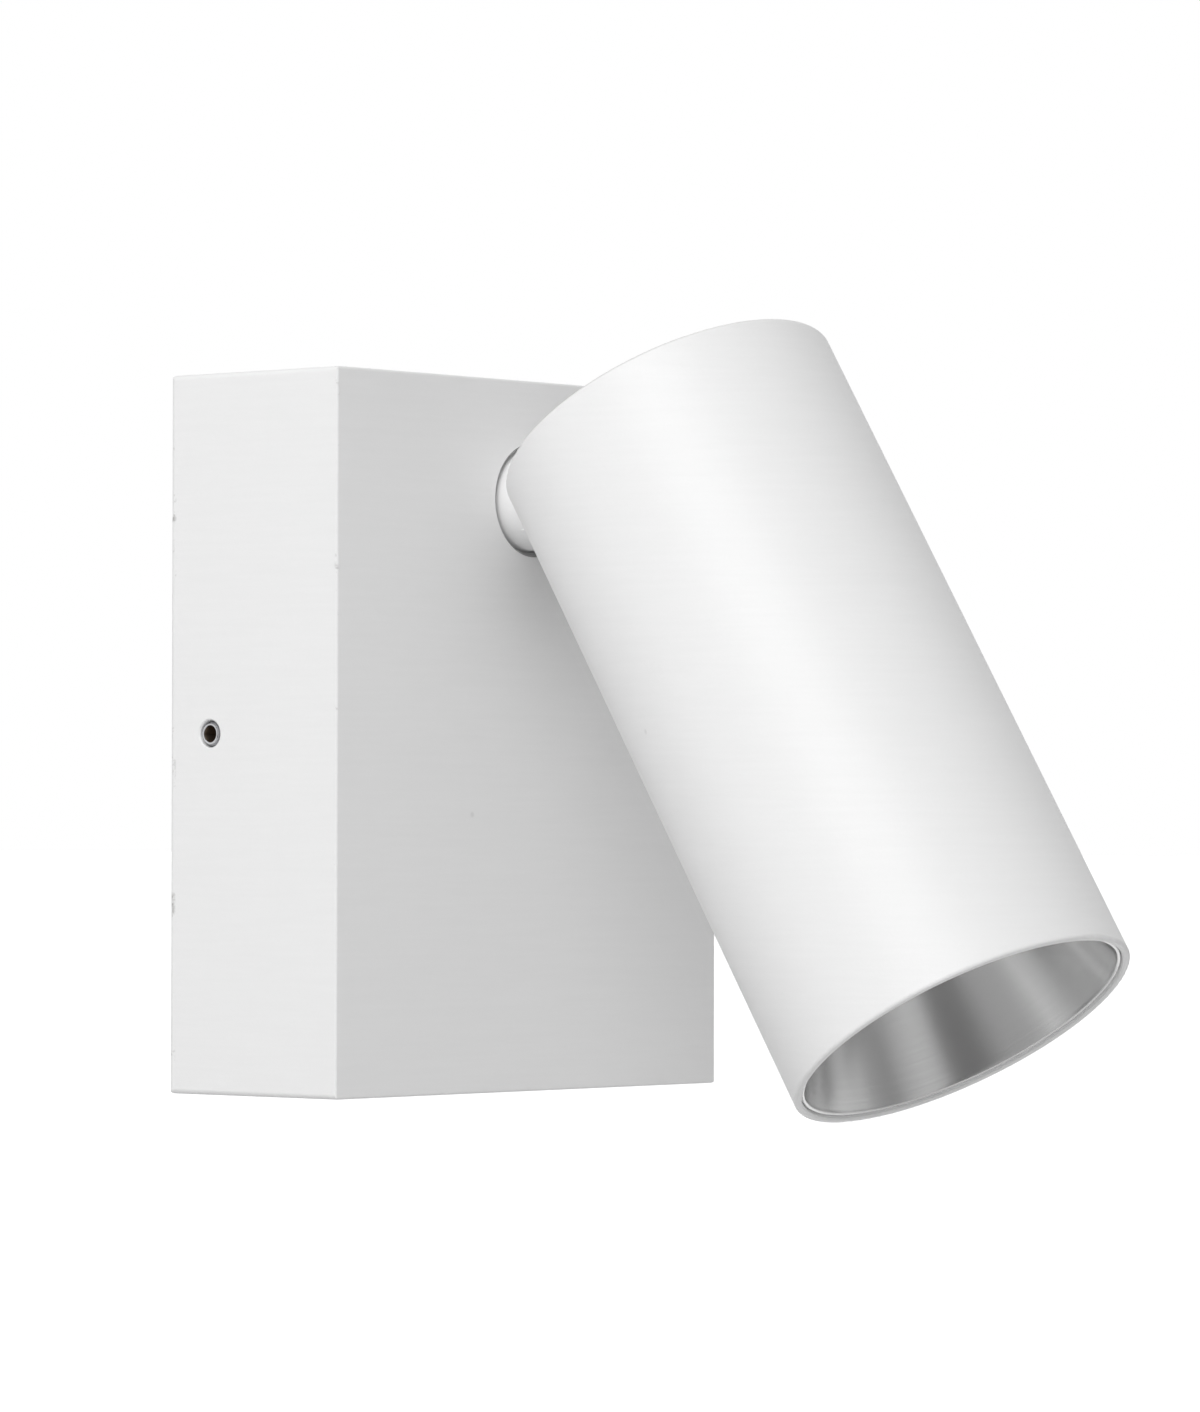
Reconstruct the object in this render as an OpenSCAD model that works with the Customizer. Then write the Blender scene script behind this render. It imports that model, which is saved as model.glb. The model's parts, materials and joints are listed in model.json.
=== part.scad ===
// Adjustable wall spotlight: a box base on the wall, a swivel arm and a tube head that tilts.
// Millimetres. The origin is the middle of the base on the wall plane.
// +Z is up, +X is to the right as seen from the room, and -Y points out of the wall.

/* [Base cover] */
// Width of the base
base_w = 89; // [88:1:130]
// Height of the base
base_h = 110; // [108:1:160]
// Depth of the base from the wall to its front face
base_d = 35; // [35:1:60]
// Thickness of the cover's walls
cover_wall = 2.5; // [2:0.1:2.8]
// Edge radius round the front face
front_edge_r = 0.4; // [0.2:0.1:1]
// Edge radius at the wall
rear_edge_r = 1; // [0.3:0.1:1.5]
// Radius of the four long corners
corner_r = 0.8; // [0.3:0.1:2]

/* [Wall plate] */
// Thickness of the sheet steel
plate_t = 1.5; // [1.2:0.1:2]
// Gap between the plate and the cover's inside
plate_gap = 0.6; // [0.3:0.1:1]
// Distance between the two wall screws
wall_screw_pitch = 60; // [56:1:60]
// Width of the slots for the wall screws
wall_slot_w = 4.6; // [4:0.1:5.4]
// Length of the slots for the wall screws
wall_slot_l = 10; // [7:0.5:11]
// Height of the plate's side flanges along Z
flange_h = 28; // [16:1:40]
// Bore of the cable grommet
grommet_bore_d = 9; // [6:0.5:11]

/* [Cover screws] */
// Diameter of the grub screws
grub_d = 4; // [3:0.5:5]
// Length of the grub screws
grub_l = 8; // [7:0.5:10]
// Distance from the wall to the grub screws
grub_y = 8.6; // [7:0.1:9]
// How far the grub screws sit below the surface
grub_recess = 0.1; // [0.1:0.1:0.8]

/* [Swivel] */
// Distance from the base's top to the swivel axis
swivel_drop = 18.5; // [18:0.5:20]
// Hole for the swivel boss in the front face
swivel_hole_d = 17.6; // [16.6:0.1:20]
// Depth of the wider part of that hole
swivel_hole_step = 0.8; // [0.5:0.1:1.2]
// Diameter of the round boss
boss_d = 15.5; // [14:0.1:16]
// How far the boss stands out of the front face
boss_proud = 2.5; // [1:0.1:3.2]
// Diameter of the arm's flange behind the front face
flange_d = 23; // [21:0.5:24]
// Thickness of the arm's flange
flange_t = 2; // [1.5:0.1:2.5]
// Outside diameter of the hollow threaded stem
stem_d = 10; // [9:0.5:11]
// Bore for the lead through the stem and the arm
lead_bore_d = 5; // [4:0.1:5.5]
// Thickness of the steel plate that holds the swivel
swivel_plate_t = 2; // [1.5:0.1:3]

/* [Tilt pivot] */
// Tilt of the light below the horizontal as photographed
tilt = 58.4; // [0:0.1:90]
// Distance from the front face to the tilt axis
pivot_out = 34.5; // [33:0.5:45]
// Distance from the tube's rear end to the tilt axis
pivot_back = 13.7; // [12:0.1:15]
// Thickness of the arm between its flats
arm_t = 12; // [10:0.1:13]
// Side clearance of the arm in the tube's slot
slot_gap = 0.7; // [0.4:0.1:1.2]
// Diameter of the pivot screws' plain tips
pivot_tip_d = 5; // [4:0.1:5.4]

/* [Tube head] */
// Outside diameter of the tube
tube_d = 54; // [52:0.5:58]
// Length of the tube
tube_l = 108.2; // [104:0.1:140]
// Thickness of the tube's wall
tube_wall = 1.2; // [1:0.1:2]
// Edge radius of the tube's rear end
tube_rear_r = 0.6; // [0.3:0.1:0.9]
// Thickness of the rear cap
cap_t = 2; // [1.5:0.1:2.5]
// How far the rear cap sits inside the tube
cap_recess = 0.5; // [0.2:0.1:1]

/* [Light source] */
// Depth of the reflector from its lip to its seat
reflector_depth = 31.8; // [28:0.1:34]
// How far the reflector's lip sits inside the mouth
lip_recess = 0.8; // [0.5:0.1:3]
// Radius of the reflector's rolled lip
lip_bead_r = 0.45; // [0.3:0.05:0.6]
// Gap between the lip and the tube
lip_gap = 0.25; // [0.2:0.05:0.8]
// Sheet thickness of the reflector
reflector_t = 0.8; // [0.6:0.1:1]
// Diameter of the hole round the light-emitting surface
reflector_base_d = 17.6; // [16:0.1:18]
// Side of the square LED board
led_board_w = 19; // [17:0.5:19]
// Thickness of the LED board
led_board_t = 1.5; // [1:0.1:2]
// Diameter of the light-emitting surface
led_d = 14.5; // [10:0.5:15]
// Number of fins on the heat sink
fins = 18; // [12:2:22]
// Thickness of a fin
fin_t = 1.6; // [1.2:0.1:2]

/* [Driver and wiring] */
// Width of the driver
driver_w = 36; // [30:1:38]
// Length of the driver
driver_l = 58; // [50:1:59]
// Depth of the driver
driver_d = 17; // [14:0.5:17]
// Diameter of the lead to the head
lead_d = 3; // [2:0.1:3.4]
// Diameter of the single supply wires
wire_d = 1.8; // [1.4:0.1:2.4]
// Distance between the poles of the terminal block
pole_pitch = 10; // [9.5:0.1:10.5]

/* [Fits] */
// Radial clearance of a part that turns in another
running_gap = 0.05; // [0.03:0.01:0.08]
// Clearance of a part pushed or screwed into another
seat_gap = 0.1; // [0.05:0.01:0.15]

/* [Hidden] */
$fn = 64;

// Colours
paint = [0.93, 0.93, 0.93];
zinc = [0.70, 0.72, 0.74];
steel = [0.60, 0.60, 0.62];
alu = [0.80, 0.81, 0.83];
brass = [0.80, 0.65, 0.30];
black = [0.12, 0.12, 0.13];
nylon = [0.88, 0.87, 0.82];

// A little more than any cut needs
cut = 1;

// Base: planes and places
front_y = -base_d;
inner_y = -base_d + cover_wall;
inner_w = base_w - 2 * cover_wall;
inner_h = base_h - 2 * cover_wall;
inner_corner_r = 1.5;
swivel_z = base_h / 2 - swivel_drop;

// Pads inside the cover's side walls, where the grub screws run
pad_t = 3;
pad_h = 14;
pad_depth = grub_y + 5.4;

// Wall plate
plate_corner_r = 3;
flange_x = inner_w / 2 - pad_t - 0.5;
flange_reach = grub_y + 4;
grub_hex = grub_d / 2;
grub_hole_d = grub_d + 2 * seat_gap;
grub_edge = 0.2;

// Cable grommet: a collar in the plate, a flange on its inside and a tapered skirt
grommet_wall = 3.5;
grommet_r = grommet_bore_d / 2 + grommet_wall;
grommet_flange_r = grommet_r + 2;
grommet_flange_t = 2;
grommet_l = 8;

// Swivel: the stack of parts behind the front wall, each on the one before it
washer_t = 0.8;
washer_y = inner_y + running_gap;
arm_flange_y = washer_y + washer_t + running_gap;
bush_y = arm_flange_y + flange_t + running_gap;
bush_flange_t = 0.6;
bush_wall = 1.2;
bush_flange_r = stem_d / 2 + 5;
swivel_plate_y = bush_y + bush_flange_t;
swivel_plate_back = swivel_plate_y + swivel_plate_t;
bush_end = swivel_plate_back + 0.5;
wave_y = bush_end + running_gap;
wave_h = 1.2;
wave_t = 0.5;
stop_y = wave_y + wave_h + running_gap;
stop_t = 1.5;
stop_rim = 3.5;
stop_r = stem_d / 2 + stop_rim;
stop_tab_l = 5.5;
stop_tab_r = stop_r + stop_tab_l;
stop_tab_w = 3;
stop_pin_d = 2;
stop_pin_r = stop_tab_r - stop_pin_d;
stem_flat = 0.8;
nut_af = stem_d + 4;
nut_t = 3;
nut_y = stop_y + stop_t + running_gap;
stem_end = nut_y + 2 * nut_t + 1.2;

// Steel swivel plate and its posts
swivel_plate_w = 56;
swivel_plate_h = 30;
swivel_screw_x = 22;
swivel_screw_z = 10.5;
m3_d = 3;
m3_head_d = 5.5;
m3_head_h = 1.8;
cap_head_d = 5.6;
cap_sink_depth = 1.4;
cap_screw_reach = 4;
post_screw_reach = 3;
driver_screw_reach = 2.6;
post_d = 7;
post_hole_d = 2.9;
post_bottom = front_y + 1.6;

// Arm and tilt axis
pivot_y = front_y - pivot_out;
arm_r = boss_d / 2;
boss_gap = 0.4;
ear_gap = 0.9;
ear_t = 3;
ear_x = arm_t / 2 + ear_gap;
ear_r = 6;
pivot_tip_x = 3;
pivot_thread_d = 6;
pivot_head_d = 9;
pivot_head_h = 2;
pivot_washer_d = 9.6;

// Tube head, in its own frame: the tilt axis is at 0 and +Z is the way the light points
tube_r = tube_d / 2;
tube_inner_r = tube_r - tube_wall;
rear_z = -pivot_back;
mouth_z = tube_l - pivot_back;
slot_half = arm_t / 2 + slot_gap;
slot_end_r = arm_r + slot_gap;
cap_r = tube_inner_r - seat_gap;
cap_z = rear_z + cap_recess;
cap_front = cap_z + cap_t;
post_x = 19;
cap_post_af = 5.5;

// Bracket and heat sink
bracket_z = 17;
bracket_t = 2;
bracket_r = 22;
bracket_screw_xy = 9.2;
bracket_screw_l = 7;
sink_z = bracket_z + bracket_t;
sink_core_r = 15;
sink_disc_t = 4;
sink_fin_r = tube_inner_r - 0.2;
sink_disc_r = tube_inner_r - seat_gap;

// Reflector: a parabola from the seat to the lip
lip_r = tube_inner_r - lip_gap - lip_bead_r;
lip_z = mouth_z - lip_recess - lip_bead_r;
mouth_r = lip_r - lip_bead_r;
seat_z = lip_z - reflector_depth;
base_r = reflector_base_d / 2;
parabola_k = (mouth_r * mouth_r - base_r * base_r) / reflector_depth;
reflector_steps = 20;
seat_flange_r = base_r + 1.2;

// LED: holder, board, pad, from the reflector's seat backwards
holder_top = seat_z - 0.05;
holder_lip = 0.8;
holder_r = 17.5;
holder_screw_x = 14;
holder_head_h = 1.3;
holder_socket_y = 12.6;
emitter_t = 0.7;
board_front = holder_top - holder_lip;
board_z = board_front - led_board_t;
pad_film_t = 0.2;
sink_front = board_z - pad_film_t;
sink_disc_z = sink_front - sink_disc_t;
socket_z = sink_front + lead_d / 2 + 0.5;
lead_y = sink_disc_r - lead_d / 2 - 2;

// Driver inside the cover, against the right side, with an ear on each side of it
driver_ear = 6.5;
driver_gap = 0.5;
driver_x = inner_w / 2 - driver_ear - driver_gap - driver_w / 2;
driver_bottom = -inner_h / 2 + driver_gap;
driver_mid = driver_bottom + driver_l / 2;
driver_top = driver_bottom + driver_l;
driver_front = inner_y + 1;
driver_back = driver_front + driver_d;
driver_wall = 1.5;
driver_lid_t = 1.5;
driver_ear_w = 9;
driver_ear_t = 2;
driver_ear_y = inner_y + 2.5;
driver_post_d = 6;

// Circuit board in the driver: how far its parts stand from its ends and from the middle
driver_board_t = 1.6;
board_gap = 0.3;
board_lift = 2;
board_pad = 3.2;
board_pad_in = 6;
board_pad_x = 6;
capacitor_d = 9;
capacitor_in = 12;
transformer_w = 18;
transformer_h = 16;

// Terminal block on the wall plate, towards the left side
poles = 3;
block_w = poles * pole_pitch;
block_l = 15;
block_d = 12;
block_side_gap = 8;
block_end_gap = 12;
block_x = -inner_w / 2 + block_side_gap + block_w / 2;
block_z = -inner_h / 2 + block_end_gap + block_l / 2;
block_top = block_z + block_l / 2;
block_front = -plate_t - block_d;
clamp_w = 6;
clamp_l = 12;
clamp_bore_d = 3.5;
clamp_y = -plate_t - 5.5;
clamp_screw_d = 2.9;
clamp_screw_l = 5.5;
clamp_screw_z = 3.5;
clamp_well_d = 4.2;
block_screw_d = 2.5;
block_head_d = 4.4;
block_head_h = 1.5;

// Earth point on the wall plate
earth_x = -22;
earth_z = 16;
earth_d = 4;
earth_len = 11;
lug_t = 0.8;
lug_r = 4;
lug_neck = 2.5;
lug_barrel_l = 6;
lug_barrel_wall = 0.8;
lug_end_z = earth_z - lug_r - lug_neck - lug_barrel_l;
earth_nut_af = 7;
earth_nut_t = 3.2;
earth_washer_d = 9;
earth_washer_t = 0.8;

// Routes of the wires: start, two handles, end
entry_in = 8;
entry_pitch = 7;
driver_hole_x = driver_x - driver_w / 2 + entry_in;
lead_out_z = driver_top - entry_in;
live_in_z = block_top + entry_pitch / 2;
neutral_in_z = live_in_z + entry_pitch;
live_rise = 5;
neutral_rise = 12;
lead_meet_y = stem_end + 3.5;
wire_sides = 8;
wire_steps = 12;

// Plain helpers

// A rectangle from a to b with its own radius at each corner, starting at a and going round
module rounded_rect(a, b, r) {
    polygon([[a.x + r[0], a.y], [b.x - r[1], a.y], [b.x, a.y + r[1]], [b.x, b.y - r[2]],
             [b.x - r[2], b.y], [a.x + r[3], b.y], [a.x, b.y - r[3]], [a.x, a.y + r[0]]]);
    translate([a.x + r[0], a.y + r[0]]) circle(r = r[0]);
    translate([b.x - r[1], a.y + r[1]]) circle(r = r[1]);
    translate([b.x - r[2], b.y - r[2]]) circle(r = r[2]);
    translate([a.x + r[3], b.y - r[3]]) circle(r = r[3]);
}

// A plate in the XZ plane from y0 to y1, with round corners
module slab(w, h, r, y0, y1) {
    translate([0, y1, 0])
        rotate([90, 0, 0])
            linear_extrude(y1 - y0)
                rounded_rect([-w / 2, -h / 2], [w / 2, h / 2], [r, r, r, r]);
}

// A box from one corner to the other
module block(a, b) {
    translate(a) cube(b - a);
}

// Cylinders along Y and along X, between two values on their axis
module y_cyl(d, y0, y1) {
    translate([0, y1, 0]) rotate([90, 0, 0]) cylinder(h = y1 - y0, d = d);
}

module x_cyl(d, x0, x1) {
    translate([x0, 0, 0]) rotate([0, 90, 0]) cylinder(h = x1 - x0, d = d);
}

// A ring along Y
module y_ring(od, id, y0, y1) {
    difference() {
        y_cyl(od, y0, y1);
        y_cyl(id, y0 - cut, y1 + cut);
    }
}

// A hexagonal prism along Y
module y_hex(af, y0, y1) {
    translate([0, y1, 0]) rotate([90, 0, 0]) cylinder(h = y1 - y0, d = af / cos(30), $fn = 6);
}

// Revolves a profile of [radius, y] points round the Y axis
module about_y() {
    rotate([-90, 0, 0]) rotate_extrude() children();
}

// A pan-head screw along Z: the head stands on z = 0 and the shank goes down
module pan_screw(d, l, head_d, head_h) {
    difference() {
        union() {
            rotate_extrude() {
                polygon([[0, 0], [head_d / 2, 0], [head_d / 2, head_h * 0.5],
                         [head_d * 0.36, head_h], [0, head_h]]);
            }
            translate([0, 0, -l]) cylinder(h = l, d = d);
        }
        for (a = [0, 90]) rotate([0, 0, a])
            block([-head_d * 0.26, -head_d * 0.05, head_h * 0.35],
                  [head_d * 0.26, head_d * 0.05, head_h + cut]);
    }
}

// The same screw along Y: the head is on the wall side and the shank points out of the wall
module y_screw(d, l, head_d, head_h) {
    rotate([-90, 0, 0]) pan_screw(d, l, head_d, head_h);
}

// Places children on the swivel axis, and in the frame of the tilted head
module on_swivel() {
    translate([0, 0, swivel_z]) children();
}

module in_head() {
    translate([0, pivot_y, swivel_z]) rotate([90 + tilt, 0, 0]) children();
}

// A point on a cubic curve
function bezier(p, t) = pow(1 - t, 3) * p[0] + 3 * t * pow(1 - t, 2) * p[1]
                        + 3 * t * t * (1 - t) * p[2] + pow(t, 3) * p[3];
function curve(p, n) = [for (i = [0 : n]) bezier(p, i / n)];
function unit(v) = v / norm(v);
function tangent(p, i) = unit(p[min(i + 1, len(p) - 1)] - p[max(i - 1, 0)]);

// A round wire swept along points. The side vector is never along the wire.
module wire(points, d, side, ends) {
    n = len(points);
    ring = [for (i = [0 : n - 1])
        let (t = i == 0 ? unit(ends[0]) : i == n - 1 ? unit(ends[1]) : tangent(points, i),
             u = unit(cross(t, side)), v = cross(t, u))
        for (k = [0 : wire_sides - 1])
            points[i] + d / 2 * (cos(360 * k / wire_sides) * u + sin(360 * k / wire_sides) * v)];
    sides = [for (i = [0 : n - 2], k = [0 : wire_sides - 1])
        let (a = i * wire_sides + k, b = i * wire_sides + (k + 1) % wire_sides)
        each [[a, b, b + wire_sides], [a, b + wire_sides, a + wire_sides]]];
    first = [for (k = [1 : wire_sides - 2]) [0, k + 1, k]];
    last_at = (n - 1) * wire_sides;
    last = [for (k = [1 : wire_sides - 2]) [last_at, last_at + k, last_at + k + 1]];
    polyhedron(ring, concat(sides, first, last), convexity = 4);
}

// Base cover

module cover_outside() {
    f = front_edge_r;
    r = rear_edge_r;
    intersection() {
        translate([-base_w / 2 - cut, 0, 0]) rotate([90, 0, 90]) linear_extrude(base_w + 2 * cut)
            rounded_rect([front_y, -base_h / 2], [0, base_h / 2], [f, r, r, f]);
        translate([0, 0, -base_h / 2 - cut]) linear_extrude(base_h + 2 * cut)
            rounded_rect([-base_w / 2, front_y], [base_w / 2, 0], [f, f, r, r]);
        slab(base_w, base_h, corner_r, front_y - cut, cut);
    }
}

module at_swivel_posts() {
    for (x = [-swivel_screw_x, swivel_screw_x], z = [-swivel_screw_z, swivel_screw_z])
        translate([x, 0, swivel_z + z]) children();
}

module at_driver_posts() {
    for (s = [-1, 1])
        translate([driver_x + s * (driver_w + driver_ear) / 2, 0, driver_mid]) children();
}

// Low ribs that tie the swivel posts to the side walls
module cover_ribs() {
    rib_t = 1.6;
    rib_h = 2.4;
    for (s = [-1, 1], z = [-swivel_screw_z, swivel_screw_z])
        translate([s * (swivel_screw_x + inner_w / 2) / 2, inner_y, swivel_z + z])
            block([-(inner_w / 2 - swivel_screw_x) / 2, -cover_wall / 2, -rib_t / 2],
                  [(inner_w / 2 - swivel_screw_x) / 2, rib_h, rib_t / 2]);
}

module base_cover() {
    color(paint) difference() {
        union() {
            difference() {
                cover_outside();
                slab(inner_w, inner_h, inner_corner_r, inner_y, cut);
            }
            cover_ribs();
            at_swivel_posts() y_cyl(post_d, inner_y - cover_wall / 2, swivel_plate_y);
            at_driver_posts() y_cyl(driver_post_d, inner_y - cover_wall / 2, driver_ear_y);
            for (s = [-1, 1]) scale([s, 1, 1])
                block([inner_w / 2 - pad_t, -pad_depth, -pad_h / 2],
                      [inner_w / 2 + cover_wall / 2, -rear_edge_r, pad_h / 2]);
        }
        on_swivel() y_cyl(swivel_hole_d, front_y - cut, front_y + swivel_hole_step);
        on_swivel() y_cyl(boss_d + 2 * boss_gap, front_y, inner_y + cut);
        at_swivel_posts() y_cyl(post_hole_d + 2 * seat_gap, post_bottom, swivel_plate_y + cut);
        at_driver_posts() y_cyl(post_hole_d + 2 * seat_gap, post_bottom, driver_ear_y + cut);
        for (s = [-1, 1]) scale([s, 1, 1]) translate([0, -grub_y, 0])
            x_cyl(grub_hole_d, inner_w / 2 - pad_t - cut, base_w / 2 + cut);
        for (s = [-1, 1]) scale([s, 1, 1])
            translate([base_w / 2 - grub_edge, -grub_y, 0]) rotate([0, 90, 0])
                cylinder(h = grub_edge + cut, d1 = grub_hole_d,
                         d2 = grub_hole_d + 2 * (grub_edge + cut));
    }
}

// Wall plate, pressed from one sheet, with a bent flange on each side

module plate_flange() {
    reach = flange_reach;
    translate([flange_x - plate_t, 0, 0])
        rotate([90, 0, 90])
            linear_extrude(plate_t)
                rounded_rect([-reach, -flange_h / 2], [0, flange_h / 2], [2, 0.2, 0.2, 2]);
}

module wall_plate() {
    plate_w = inner_w - 2 * plate_gap;
    plate_h = inner_h - 2 * plate_gap;
    notch_h = flange_h + 3;
    color(zinc) difference() {
        union() {
            difference() {
                slab(plate_w, plate_h, plate_corner_r, -plate_t, 0);
                for (s = [-1, 1]) scale([s, 1, 1])
                    block([flange_x, -plate_t - cut, -notch_h / 2], [inner_w, cut, notch_h / 2]);
            }
            for (s = [-1, 1]) scale([s, 1, 1]) plate_flange();
        }
        for (s = [-1, 1]) translate([s * wall_screw_pitch / 2, 0, 0])
            slab(wall_slot_l, wall_slot_w, wall_slot_w / 2 - 0.001, -plate_t - cut, cut);
        for (s = [-1, 1]) scale([s, 1, 1]) translate([0, -grub_y, 0])
            x_cyl(grub_d + 0.4, flange_x - plate_t - cut, flange_x + cut);
        y_cyl(2 * (grommet_r + seat_gap), -plate_t - cut, cut);
        translate([block_x + pole_pitch / 2, 0, block_z])
            y_cyl(block_screw_d + 2 * seat_gap, -plate_t - cut, cut);
        translate([earth_x, 0, earth_z]) y_cyl(earth_d + seat_gap, -plate_t - cut, cut);
    }
}

module cable_grommet() {
    color(black) about_y()
        polygon([[grommet_bore_d / 2, -grommet_l], [grommet_bore_d / 2 + 1.2, -grommet_l],
                 [grommet_r, -plate_t - grommet_flange_t],
                 [grommet_flange_r, -plate_t - grommet_flange_t],
                 [grommet_flange_r, -plate_t], [grommet_r, -plate_t], [grommet_r, 0],
                 [grommet_bore_d / 2, 0]]);
}

// Grub screw along X, with its hexagon socket on the outside and a cup point inside
module grub_screw() {
    chamfer = grub_d * 0.1;
    cup = grub_d * 0.3;
    socket = grub_hex / cos(30);
    difference() {
        rotate([0, 90, 0]) rotate_extrude()
            polygon([[0, -grub_l + 0.4], [cup, -grub_l], [grub_d / 2 - 2 * chamfer, -grub_l],
                     [grub_d / 2, -grub_l + 2 * chamfer], [grub_d / 2, -chamfer],
                     [grub_d / 2 - chamfer, 0], [0, 0]]);
        translate([-grub_hex * 1.2, 0, 0]) rotate([0, 90, 0])
            cylinder(h = grub_l, d = socket, $fn = 6);
        translate([-chamfer / 2, 0, 0]) rotate([0, 90, 0])
            cylinder(h = chamfer, d1 = socket - chamfer, d2 = socket + 3 * chamfer);
    }
}

module cover_grub_screws() {
    color(steel) for (s = [-1, 1]) scale([s, 1, 1])
        translate([base_w / 2 - grub_recess, -grub_y, 0]) grub_screw();
}

// Fixed parts of the swivel

module swivel_plate() {
    color(zinc) difference() {
        on_swivel() slab(swivel_plate_w, swivel_plate_h, 3, swivel_plate_y, swivel_plate_back);
        on_swivel() y_cyl(stem_d + 2 * (running_gap + bush_wall + seat_gap),
                          swivel_plate_y - cut, swivel_plate_back + cut);
        at_swivel_posts() y_cyl(m3_d + 0.4, swivel_plate_y - cut, swivel_plate_back + cut);
        on_swivel() translate([0, 0, stop_pin_r])
            y_cyl(stop_pin_d, swivel_plate_y - cut, swivel_plate_back + cut);
    }
}

module swivel_plate_screws() {
    color(steel) at_swivel_posts() translate([0, swivel_plate_back, 0])
        y_screw(post_hole_d, swivel_plate_t + post_screw_reach, m3_head_d, m3_head_h);
}

module swivel_bush() {
    bore_r = stem_d / 2 + running_gap;
    color(nylon) on_swivel() about_y()
        polygon([[bore_r, bush_y], [bush_flange_r, bush_y], [bush_flange_r, swivel_plate_y],
                 [bore_r + bush_wall, swivel_plate_y], [bore_r + bush_wall, bush_end],
                 [bore_r, bush_end]]);
}

module stop_pin() {
    color(steel) on_swivel() translate([0, 0, stop_pin_r])
        y_cyl(stop_pin_d, swivel_plate_y, stop_y + stop_t + 0.6);
}

// Driver

module driver_case() {
    color([0.92, 0.92, 0.90]) difference() {
        translate([driver_x, 0, driver_mid]) union() {
            slab(driver_w, driver_l, 2, driver_front, driver_back - driver_lid_t);
            slab(driver_w + 2 * driver_ear, driver_ear_w, 2,
                 driver_ear_y, driver_ear_y + driver_ear_t);
        }
        translate([driver_x, 0, driver_mid])
            slab(driver_w - 2 * driver_wall, driver_l - 2 * driver_wall, 1,
                 driver_front + driver_wall, driver_back + cut);
        at_driver_posts() y_cyl(m3_d + 0.4, driver_ear_y - cut, driver_ear_y + driver_ear_t + cut);
    }
}

module driver_lid() {
    color([0.85, 0.85, 0.84]) difference() {
        translate([driver_x, 0, driver_mid])
            slab(driver_w, driver_l, 2, driver_back - driver_lid_t, driver_back);
        for (z = [live_in_z, neutral_in_z]) translate([driver_hole_x, 0, z])
            y_cyl(wire_d + 0.4, driver_back - driver_lid_t - cut, driver_back + cut);
        translate([driver_hole_x, 0, lead_out_z])
            y_cyl(lead_d + 0.4, driver_back - driver_lid_t - cut, driver_back + cut);
    }
}

// Circuit board with its transformer, two capacitors, solder pads and two edge rails
module driver_board() {
    back = driver_front + driver_wall + board_lift;
    face = back + driver_board_t;
    room = driver_back - driver_lid_t - face;
    board_w = driver_w - 2 * (driver_wall + board_gap);
    board_h = driver_l - 2 * (driver_wall + board_gap);
    color([0.10, 0.35, 0.20]) translate([driver_x, 0, driver_mid]) union() {
        slab(board_w, board_h, 0.5, back, face);
        translate([transformer_w / 4, 0, 0])
            block([-transformer_w / 2, face - 0.2, -transformer_h / 2],
                  [transformer_w / 2, face + room - 1.2, transformer_h / 2]);
        for (s = [-1, 1]) translate([transformer_w / 6, 0, s * (driver_l / 2 - capacitor_in)])
            y_cyl(capacitor_d, face - 0.2, face + room - 1.5);
        for (s = [-1, 1], x = [-board_pad_x, board_pad_x])
            translate([x, 0, s * (driver_l / 2 - board_pad_in)])
                block([-board_pad / 2, face - 0.2, -board_pad / 2],
                      [board_pad / 2, face + board_pad, board_pad / 2]);
        for (s = [-1, 1]) scale([s, 1, 1])
            block([board_w / 2 - board_lift, back - board_lift, -board_lift],
                  [board_w / 2, back + 0.2, board_lift]);
    }
}

module driver_screws() {
    color(steel) at_driver_posts() translate([0, driver_ear_y + driver_ear_t, 0])
        y_screw(post_hole_d, driver_ear_t + driver_screw_reach, m3_head_d, m3_head_h);
}

// Terminal block

module at_poles() {
    for (i = [0 : poles - 1])
        translate([block_x + (i - (poles - 1) / 2) * pole_pitch, 0, block_z]) children();
}

module at_clamp_screws() {
    at_poles() for (z = [-clamp_screw_z, clamp_screw_z]) translate([0, 0, z]) children();
}

module terminal_body() {
    half = clamp_w / 2 + seat_gap;
    color([0.90, 0.90, 0.86]) difference() {
        translate([block_x, 0, block_z]) slab(block_w, block_l, 1, block_front, -plate_t);
        at_poles() block([-half, clamp_y - half, -block_l], [half, clamp_y + half, block_l]);
        at_clamp_screws() y_cyl(clamp_well_d, block_front - cut, clamp_y);
        translate([block_x + pole_pitch / 2, 0, block_z])
            y_cyl(block_screw_d + 2 * seat_gap, block_front - cut, cut);
    }
}

module terminal_clamps() {
    color(brass) difference() {
        at_poles() block([-clamp_w / 2, clamp_y - clamp_w / 2, -clamp_l / 2],
                         [clamp_w / 2, clamp_y + clamp_w / 2, clamp_l / 2]);
        at_poles() translate([0, clamp_y, -block_l]) cylinder(h = 2 * block_l, d = clamp_bore_d);
        at_clamp_screws() y_cyl(clamp_screw_d + 2 * seat_gap, clamp_y - clamp_w, clamp_y);
    }
}

// Slotted clamp screws, in their wells
module terminal_screws() {
    tip = clamp_y - wire_d / 2 - 0.1;
    top = tip - clamp_screw_l;
    color(steel) difference() {
        at_clamp_screws() y_cyl(clamp_screw_d, top, tip);
        at_clamp_screws() block([-clamp_screw_d, top - cut, -0.3], [clamp_screw_d, top + 0.8, 0.3]);
    }
}

module terminal_fixing_screw() {
    color(steel) translate([block_x + pole_pitch / 2, block_front, block_z])
        rotate([90, 0, 0])
            pan_screw(block_screw_d, block_d + plate_t, block_head_d, block_head_h);
}

// Earth point

module earth_stud() {
    color(brass) translate([earth_x, 0, earth_z]) y_cyl(earth_d, -earth_len, 0);
}

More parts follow.
